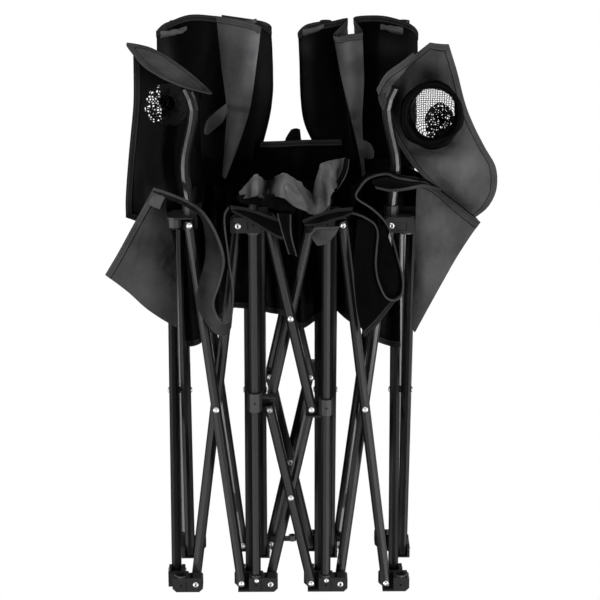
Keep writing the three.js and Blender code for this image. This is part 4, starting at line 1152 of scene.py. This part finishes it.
# %% Seat loops
loop_left_front = [
    (-202, -98, 671), (-176, -98, 662), (-149, -99, 649), (-127, -100, 632), (-108, -101, 598),
    (-98, -102, 560), (-105, -104, 525), (-115, -105, 490), (-104, -105, 463), (-90, -105, 471),
    (-86, -105, 512), (-91, -104, 552), (-97, -102, 600), (-98, -101, 628), (-91, -102, 641),
]
loop_left_middle = [
    (-204, -97, 667), (-178, -97, 657), (-150, -97, 644), (-131, -98, 629), (-118, -99, 598),
    (-112, -99, 560), (-120, -100, 523), (-126, -101, 487), (-108, -102, 454), (-90, -102, 460),
    (-88, -101, 512), (-92, -100, 552), (-97, -99, 600), (-98, -98, 630), (-92, -99, 642),
]
loop_left_back = [
    (-204, -96, 664), (-180, -96, 653), (-152, -96, 639), (-134, -96, 626), (-128, -97, 600),
    (-128, -97, 560), (-138, -97, 520), (-141, -97, 484), (-114, -97, 441), (-91, -97, 448),
    (-90, -97, 512), (-94, -97, 552), (-98, -96, 600), (-98, -96, 632), (-93, -97, 643),
]
# The left loop is drawn with the lit finish on both faces, darkened by painted shade at its top, along
# its limbs and a little all over.
seat_left = sheet(
    "seat_cloth_left", [loop_left_front, loop_left_middle, loop_left_back],
    hems="t", hem=4, near=LIT_REVERSE, far=LIT_REVERSE, wrinkles=(1.0, 50, 9),
    shade=[
        (-150, 650, 120, 70, 0.02), (-112, 598, 60, 40, 0.03), (-90, 560, 12, 120, 0.1),
        (-134, 520, 12, 110, 0.25), (-110, 500, 900, 900, 0.5),
    ],
)
loop_right_front = [
    (22, -97, 612), (59, -98, 621), (89, -99, 631), (118, -100, 620), (130, -101, 604),
    (129, -102, 575), (128, -103, 548), (133, -104, 522), (143, -104, 501), (156, -104, 495),
    (168, -104, 503), (170, -104, 526), (162, -102, 559), (147, -100, 608), (124, -98, 636),
    (99, -96, 653), (103, -95, 668), (118, -95, 684), (142, -95, 690), (160, -95, 684),
    (190, -95, 678), (212, -94, 670), (284, -88, 612),
]
loop_right_back = [(x - 3, y + 20, z + 2) for x, y, z in loop_right_front]
loop_right_middle = [
    tuple((p + q) / 2 for p, q in zip(a, b)) for a, b in zip(loop_right_front, loop_right_back)
]
seat_right = sheet(
    "seat_cloth_right", [loop_right_front, loop_right_middle, loop_right_back],
    hems="t", hem=5, near=BOUND, wrinkles=(1.0, 50, 10),
)

# %% [markdown]
# Small pieces close the seats: a pocket over the right post, a fall inside its loop, a turned tab
# on the left, and the dark side of the seat behind the right hub. Each rides its hub.

# %% Small pieces of the seats
pocket = sheet(
    "seat_pocket_right",
    [
        [(120, -88, 684), (142, -88, 690), (166, -88, 685), (194, -90, 680), (224, -92, 668)],
        [(122, -94, 676), (146, -97, 678), (170, -98, 676), (198, -97, 674), (224, -94, 666)],
        [(128, -95, 668), (150, -98, 664), (174, -99, 667), (200, -98, 671), (224, -95, 664)],
    ],
    hems="b", near=BOUND, hem=5, wrinkles=(1.0, 30, 11),
)
seat_fall = sheet(
    "seat_fall_right",
    [
        [(100, -96, 622), (114, -97, 619), (126, -97, 613), (140, -97, 612)],
        [(95, -97, 560), (112, -98, 560), (135, -98, 560), (157, -97, 562)],
        [(97, -97, 510), (115, -98, 512), (140, -98, 515), (167, -97, 522)],
        [(102, -97, 470), (124, -98, 480), (146, -98, 492), (164, -97, 502)],
        [(112, -97, 434), (134, -98, 457), (149, -98, 478), (160, -97, 494)],
    ],
    hems="b", wrinkles=(0.8, 40, 25),
)
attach(seat_fall, "front_hub_outer_right")
seat_tab = sheet(
    "seat_tab_left",
    [
        [(-200, -92, 664), (-192, -95, 661), (-186, -96, 656)],
        [(-206, -93, 654), (-197, -97, 651), (-190, -97, 648)],
        [(-212, -93, 645), (-203, -95, 640), (-195, -96, 637)],
    ],
    near=LIT_REVERSE, wrinkles=(2.0, 9, 30), sharp=True, step=3.0,
)
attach(seat_tab, "front_hub_outer_left")
seat_side = sheet(
    "seat_side_right",
    [
        [(150, -22, 678), (172, -20, 682), (196, -22, 672), (222, -22, 654)],
        [(150, -20, 650), (172, -22, 650), (196, -20, 648), (218, -22, 640)],
        [(150, -22, 614), (172, -20, 614), (192, -22, 614), (206, -22, 614)],
    ],
    wrinkles=(1.0, 30, 22),
)
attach(seat_side, "front_hub_outer_right")
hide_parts("seat_left")
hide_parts("seat_right")
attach(seat_left, "front_hub_outer_left")
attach(seat_right, "front_hub_outer_right")
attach(pocket, "front_hub_outer_right")

# %% [markdown]
# Below and behind the hems the slack of the seats hangs in a ragged curtain, which hides most of
# the frame's inside. Its ripples are drawn as columns that stand forward and back in turn.

# %% Slack under the seats
curtain_left = sheet(
    "seat_slack_left",
    [
        [(-152, -44, 656), (-145, -46, 658), (-130, -36, 658), (-112, -46, 658), (-90, -38, 656)],
        [(-158, -54, 592), (-146, -44, 590), (-130, -14, 588), (-112, -30, 585), (-92, -10, 580)],
        [(-163, -56, 500), (-150, -46, 500), (-132, -8, 500), (-112, -20, 500), (-90, 2, 500)],
        [(-162, -54, 404), (-146, -42, 402), (-128, -12, 405), (-114, -14, 430), (-88, 0, 448)],
    ],
    hems="b", wrinkles=(2.5, 45, 12),
)
curtain_right = sheet(
    "seat_slack_right",
    [
        [
            (72, -38, 656), (92, -46, 658), (112, -36, 658), (132, -46, 658), (158, -38, 656),
            (176, -40, 656),
        ],
        [
            (72, -10, 580), (92, -28, 580), (112, -12, 580), (132, -30, 580), (154, -16, 580),
            (168, -24, 580),
        ],
        [
            (72, 2, 500), (92, -16, 500), (112, -2, 500), (134, -28, 500), (154, -20, 500),
            (169, -30, 500),
        ],
        [
            (73, 0, 444), (94, -10, 428), (112, -2, 414), (132, -22, 402), (152, -24, 394),
            (171, -34, 394),
        ],
    ],
    hems="b", wrinkles=(3.5, 45, 13),
)
curtain_middle = sheet(
    "seat_slack_middle",
    [
        [
            (-92, -34, 658), (-64, -30, 660), (-40, -34, 660), (-16, -26, 660), (12, -34, 660),
            (40, -26, 660), (76, -34, 658),
        ],
        [
            (-92, -8, 580), (-64, 0, 580), (-40, -14, 580), (-16, 8, 580), (12, -12, 580),
            (40, 6, 580), (76, -6, 580),
        ],
        [
            (-90, 2, 500), (-62, 0, 500), (-40, -12, 500), (-14, 10, 500), (12, -12, 500),
            (40, 6, 500), (74, 0, 500),
        ],
        [
            (-88, 2, 448), (-60, 0, 446), (-36, -8, 443), (-10, 8, 431), (16, -8, 416), (42, 4, 427),
            (73, 2, 444),
        ],
    ],
    hems="b", wrinkles=(3.5, 45, 14),
)
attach(curtain_left, "front_hub_outer_left")
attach(curtain_right, "front_hub_outer_right")
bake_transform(curtain_middle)

# %% [markdown]
# From the front hem the seats run back to the rear row, in three shallow waves. The right one is
# the left one seen in a mirror.

# %% Slack behind the seats
rear_rows = [
    [(-156, -35, 625), (-134, -35, 616), (-112, -35, 626), (-90, -35, 616), (-58, -35, 625)],
    [(-156, 0, 624), (-134, 0, 612), (-112, 0, 625), (-90, 0, 612), (-58, 0, 624)],
    [(-156, 35, 625), (-134, 35, 616), (-112, 35, 626), (-90, 35, 616), (-58, 35, 625)],
]
rear_left = sheet(
    "seat_rear_cloth_left", rear_rows,
    wrinkles=(1.2, 40, 15),
)
rear_right = sheet(
    "seat_rear_cloth_right", [[(-x, y, z) for x, y, z in reversed(row)] for row in rear_rows],
    wrinkles=(1.2, 40, 16),
)
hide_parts("seat_rear_left")
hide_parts("seat_rear_right")
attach(rear_left, "seat_rear_left")
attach(rear_right, "seat_rear_right")

# %% [markdown]
# Between the seats a satin cloth lies crumpled over the two front posts, drawn paler than the
# other cloth as a painted sheen. Its creases are sharp and close, so it has the finest grid of
# all, and painted shade in its gaps and painted highlights on its ridges are drawn patch by patch.

# %% Console cloth
console = sheet(
    "console_cloth",
    [
        [
            (-76, -90, 662), (-63, -96, 679), (-49, -100, 692), (-34, -86, 678), (-23, -92, 687),
            (-11, -98, 695), (3, -98, 689), (20, -92, 675), (34, -86, 656), (40, -98, 702),
            (53, -96, 711), (69, -90, 712), (83, -86, 713),
        ],
        [
            (-76, -92, 660), (-63, -98, 674), (-49, -106, 685), (-34, -88, 671), (-22, -96, 681),
            (-10, -106, 686), (4, -106, 679), (21, -96, 665), (36, -88, 649), (43, -106, 690),
            (55, -103, 700), (70, -93, 703), (82, -88, 704),
        ],
        [
            (-76, -93, 658), (-63, -101, 668), (-48, -113, 679), (-35, -89, 665), (-22, -99, 674),
            (-9, -113, 677), (5, -113, 669), (23, -101, 656), (38, -91, 643), (47, -113, 677),
            (58, -110, 690), (70, -96, 693), (80, -89, 695),
        ],
        [
            (-76, -94, 656), (-63, -104, 663), (-48, -114, 671), (-36, -94, 659), (-22, -102, 667),
            (-8, -114, 666), (7, -114, 658), (24, -106, 646), (39, -98, 637), (52, -114, 662),
            (60, -111, 677), (70, -99, 684), (79, -90, 686),
        ],
        [
            (-76, -96, 654), (-63, -106, 657), (-48, -114, 663), (-36, -100, 654), (-21, -106, 660),
            (-6, -116, 656), (8, -116, 646), (26, -110, 637), (41, -104, 632), (56, -116, 648),
            (63, -112, 665), (71, -102, 674), (78, -92, 678),
        ],
    ],
    near=SHEEN_SATIN, wrinkles=(4.5, 26, 17), sharp=True, step=3.5,
    shade=[
        (-34, 666, 8, 26, 0.02), (-26, 684, 9, 12, 0.02), (-42, 655, 8, 10, 0.2),
        (30, 662, 6, 25, 0.2), (-60, 664, 5, 16, 0.3), (52, 668, 4, 26, 0.25), (-8, 650, 24, 5, 0.4),
        (72, 676, 6, 12, 0.1), (-12, 676, 10, 8, 1.5), (8, 650, 10, 6, 1.6), (40, 640, 8, 8, 1.5),
        (60, 700, 8, 6, 1.4), (-50, 682, 5, 10, 1.5),
    ],
)
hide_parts("centre_console")
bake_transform(console)
turn_back = sheet(
    "console_edge",
    [
        [(79, -94, 714), (83, -95, 715), (87, -94, 713)],
        [(76, -97, 700), (80, -98, 700), (85, -97, 698)],
        [(69, -97, 684), (73, -98, 683), (79, -97, 682)],
        [(62, -95, 668), (66, -96, 667), (70, -95, 667)],
    ],
    hems="lr", hem=1.6, near=BOUND, wrinkles=(1.0, 12, 36),
)
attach(turn_back, "centre_console")
console_under = sheet(
    "console_under",
    [
        [(-80, -98, 659), (-50, -103, 664), (-20, -102, 660), (10, -106, 648)],
        [(-78, -102, 654), (-50, -105, 655), (-22, -104, 650), (8, -108, 640)],
        [(-74, -103, 648), (-50, -106, 646), (-24, -106, 640), (4, -109, 630)],
    ],
    wrinkles=(2.0, 16, 29), sharp=True,
)
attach(console_under, "front_foot_inner_left")

# %% [markdown]
# Straps lie in front of the console. They are flat and short, so they are plain sheets with narrow
# hems, a tail that hangs from the left one and, on the right one, a flap of the cloth's paler
# reverse, drawn with the lit finish and painted shade.

# %% Straps
strap_left = sheet(
    "strap_left",
    [
        [(-90, -104, 646), (-60, -106, 641), (-34, -108, 632), (-8, -110, 622), (0, -111, 612)],
        [(-88, -106, 640), (-60, -109, 630), (-34, -111, 618), (-12, -112, 606), (-1, -112, 602)],
        [(-86, -105, 636), (-60, -107, 622), (-34, -109, 606), (-14, -110, 595), (-2, -111, 598)],
    ],
    hems="tb", hem=5, wrinkles=(0.8, 30, 18),
)
strap_tail = sheet(
    "strap_tail",
    [
        [(-20, -110, 634), (-10, -112, 636), (1, -110, 633)],
        [(-13, -112, 606), (-6, -113, 603), (2, -112, 602)],
        [(-3, -112, 572), (4, -113, 570), (10, -112, 568)],
    ],
    hems="lr", near=BOUND, hem=2.5, wrinkles=(1.0, 20, 19),
)
strap_flap = sheet(
    "strap_flap",
    [
        [(30, -108, 602), (38, -110, 613), (56, -110, 613), (74, -108, 614)],
        [(34, -110, 593), (44, -112, 600), (58, -112, 600), (68, -110, 604)],
        [(40, -108, 584), (46, -110, 585), (54, -110, 588), (60, -108, 592)],
    ],
    hems="t", hem=4, near=LIT_REVERSE, wrinkles=(0.8, 20, 20),
    shade=[(48, 590, 300, 300, 0.7), (36, 604, 8, 8, 0.3)],
)
strap_right = sheet(
    "strap_right",
    [
        [(18, -102, 622), (40, -106, 632), (66, -106, 640), (92, -104, 642)],
        [(20, -104, 617), (40, -109, 624), (66, -109, 632), (92, -106, 637)],
        [(24, -103, 613), (40, -106, 615), (66, -106, 622), (90, -104, 631)],
    ],
    hems="tb", hem=5, wrinkles=(0.8, 30, 21),
)
for piece in (strap_left, strap_tail, strap_right, strap_flap):
    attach(piece, "front_foot_inner_left" if piece in (strap_left, strap_tail) else "centre_console")

# %% [markdown]
# The cloth and tubes are black, so most of what one sees of them is reflection. One bright dome
# would wash them grey. Instead two tall narrow lights at the front draw the bright lines
# down the tubes, two at the sides draw their edges, one above shows the folds, and a weak one
# behind shines on the backs of the pleats.

# %% Lights
def soft_light(name, where, size, power, at=(0, 0, 450)):
    lamp = bpy.data.lights.new(name, "AREA")
    lamp.shape = "RECTANGLE"
    lamp.size, lamp.size_y = size
    lamp.energy = power
    made = bpy.data.objects.new(name, lamp)
    made.location = point(*where)
    made.rotation_euler = (point(*at) - point(*where)).to_track_quat("-Z", "Y").to_euler()
    scene.collection.objects.link(made)


soft_light("left_soft", (-1500, -1500, 0), (0.30, 3.2), 50)
soft_light("right_soft", (1500, -1500, 0), (0.30, 3.2), 62)
soft_light("left_edge", (-1900, 100, 0), (0.5, 3.0), 24)
soft_light("right_edge", (1900, 100, 0), (0.5, 3.0), 24)
soft_light("top_soft", (0, -900, 2300), (1.6, 0.8), 24)
soft_light("back_soft", (500, 1900, 200), (1.4, 1.4), 10)

# %% [markdown]
# The ground is white all round, as the camera sees it. Everything else sees a dim world, so that
# black stays black.

# %% The white ground
WHITE = (1, 1, 1, 1)
DIM = 0.05

world = bpy.data.worlds.new("ground")
world.use_nodes = True
world.node_tree.nodes.clear()
scene.world = world
ground = Nodes(world.node_tree)
white = ground.node("Background", {"Color": WHITE, "Strength": 1.0})
dim = ground.node("Background", {"Color": WHITE, "Strength": DIM})
seen = ground.node("LightPath", output="Is Camera Ray")
mix = ground.node("MixShader", {0: seen, 1: dim, 2: white})
ground.node("OutputWorld", {"Surface": mix})
print("the camera sees white; everything else sees", DIM)

# %% [markdown]
# The last cell prints the sizes of the box of the packed model and of this one, and ends the
# script.

# %% Sizes, and the end
NEW_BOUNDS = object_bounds()
sizes = {"cad": [list(v) for v in CAD_BOUNDS], "visual": [list(v) for v in NEW_BOUNDS]}
for label, (low, high) in sizes.items():
    print(label, [round(b - a, 3) for a, b in zip(low, high)], "m")
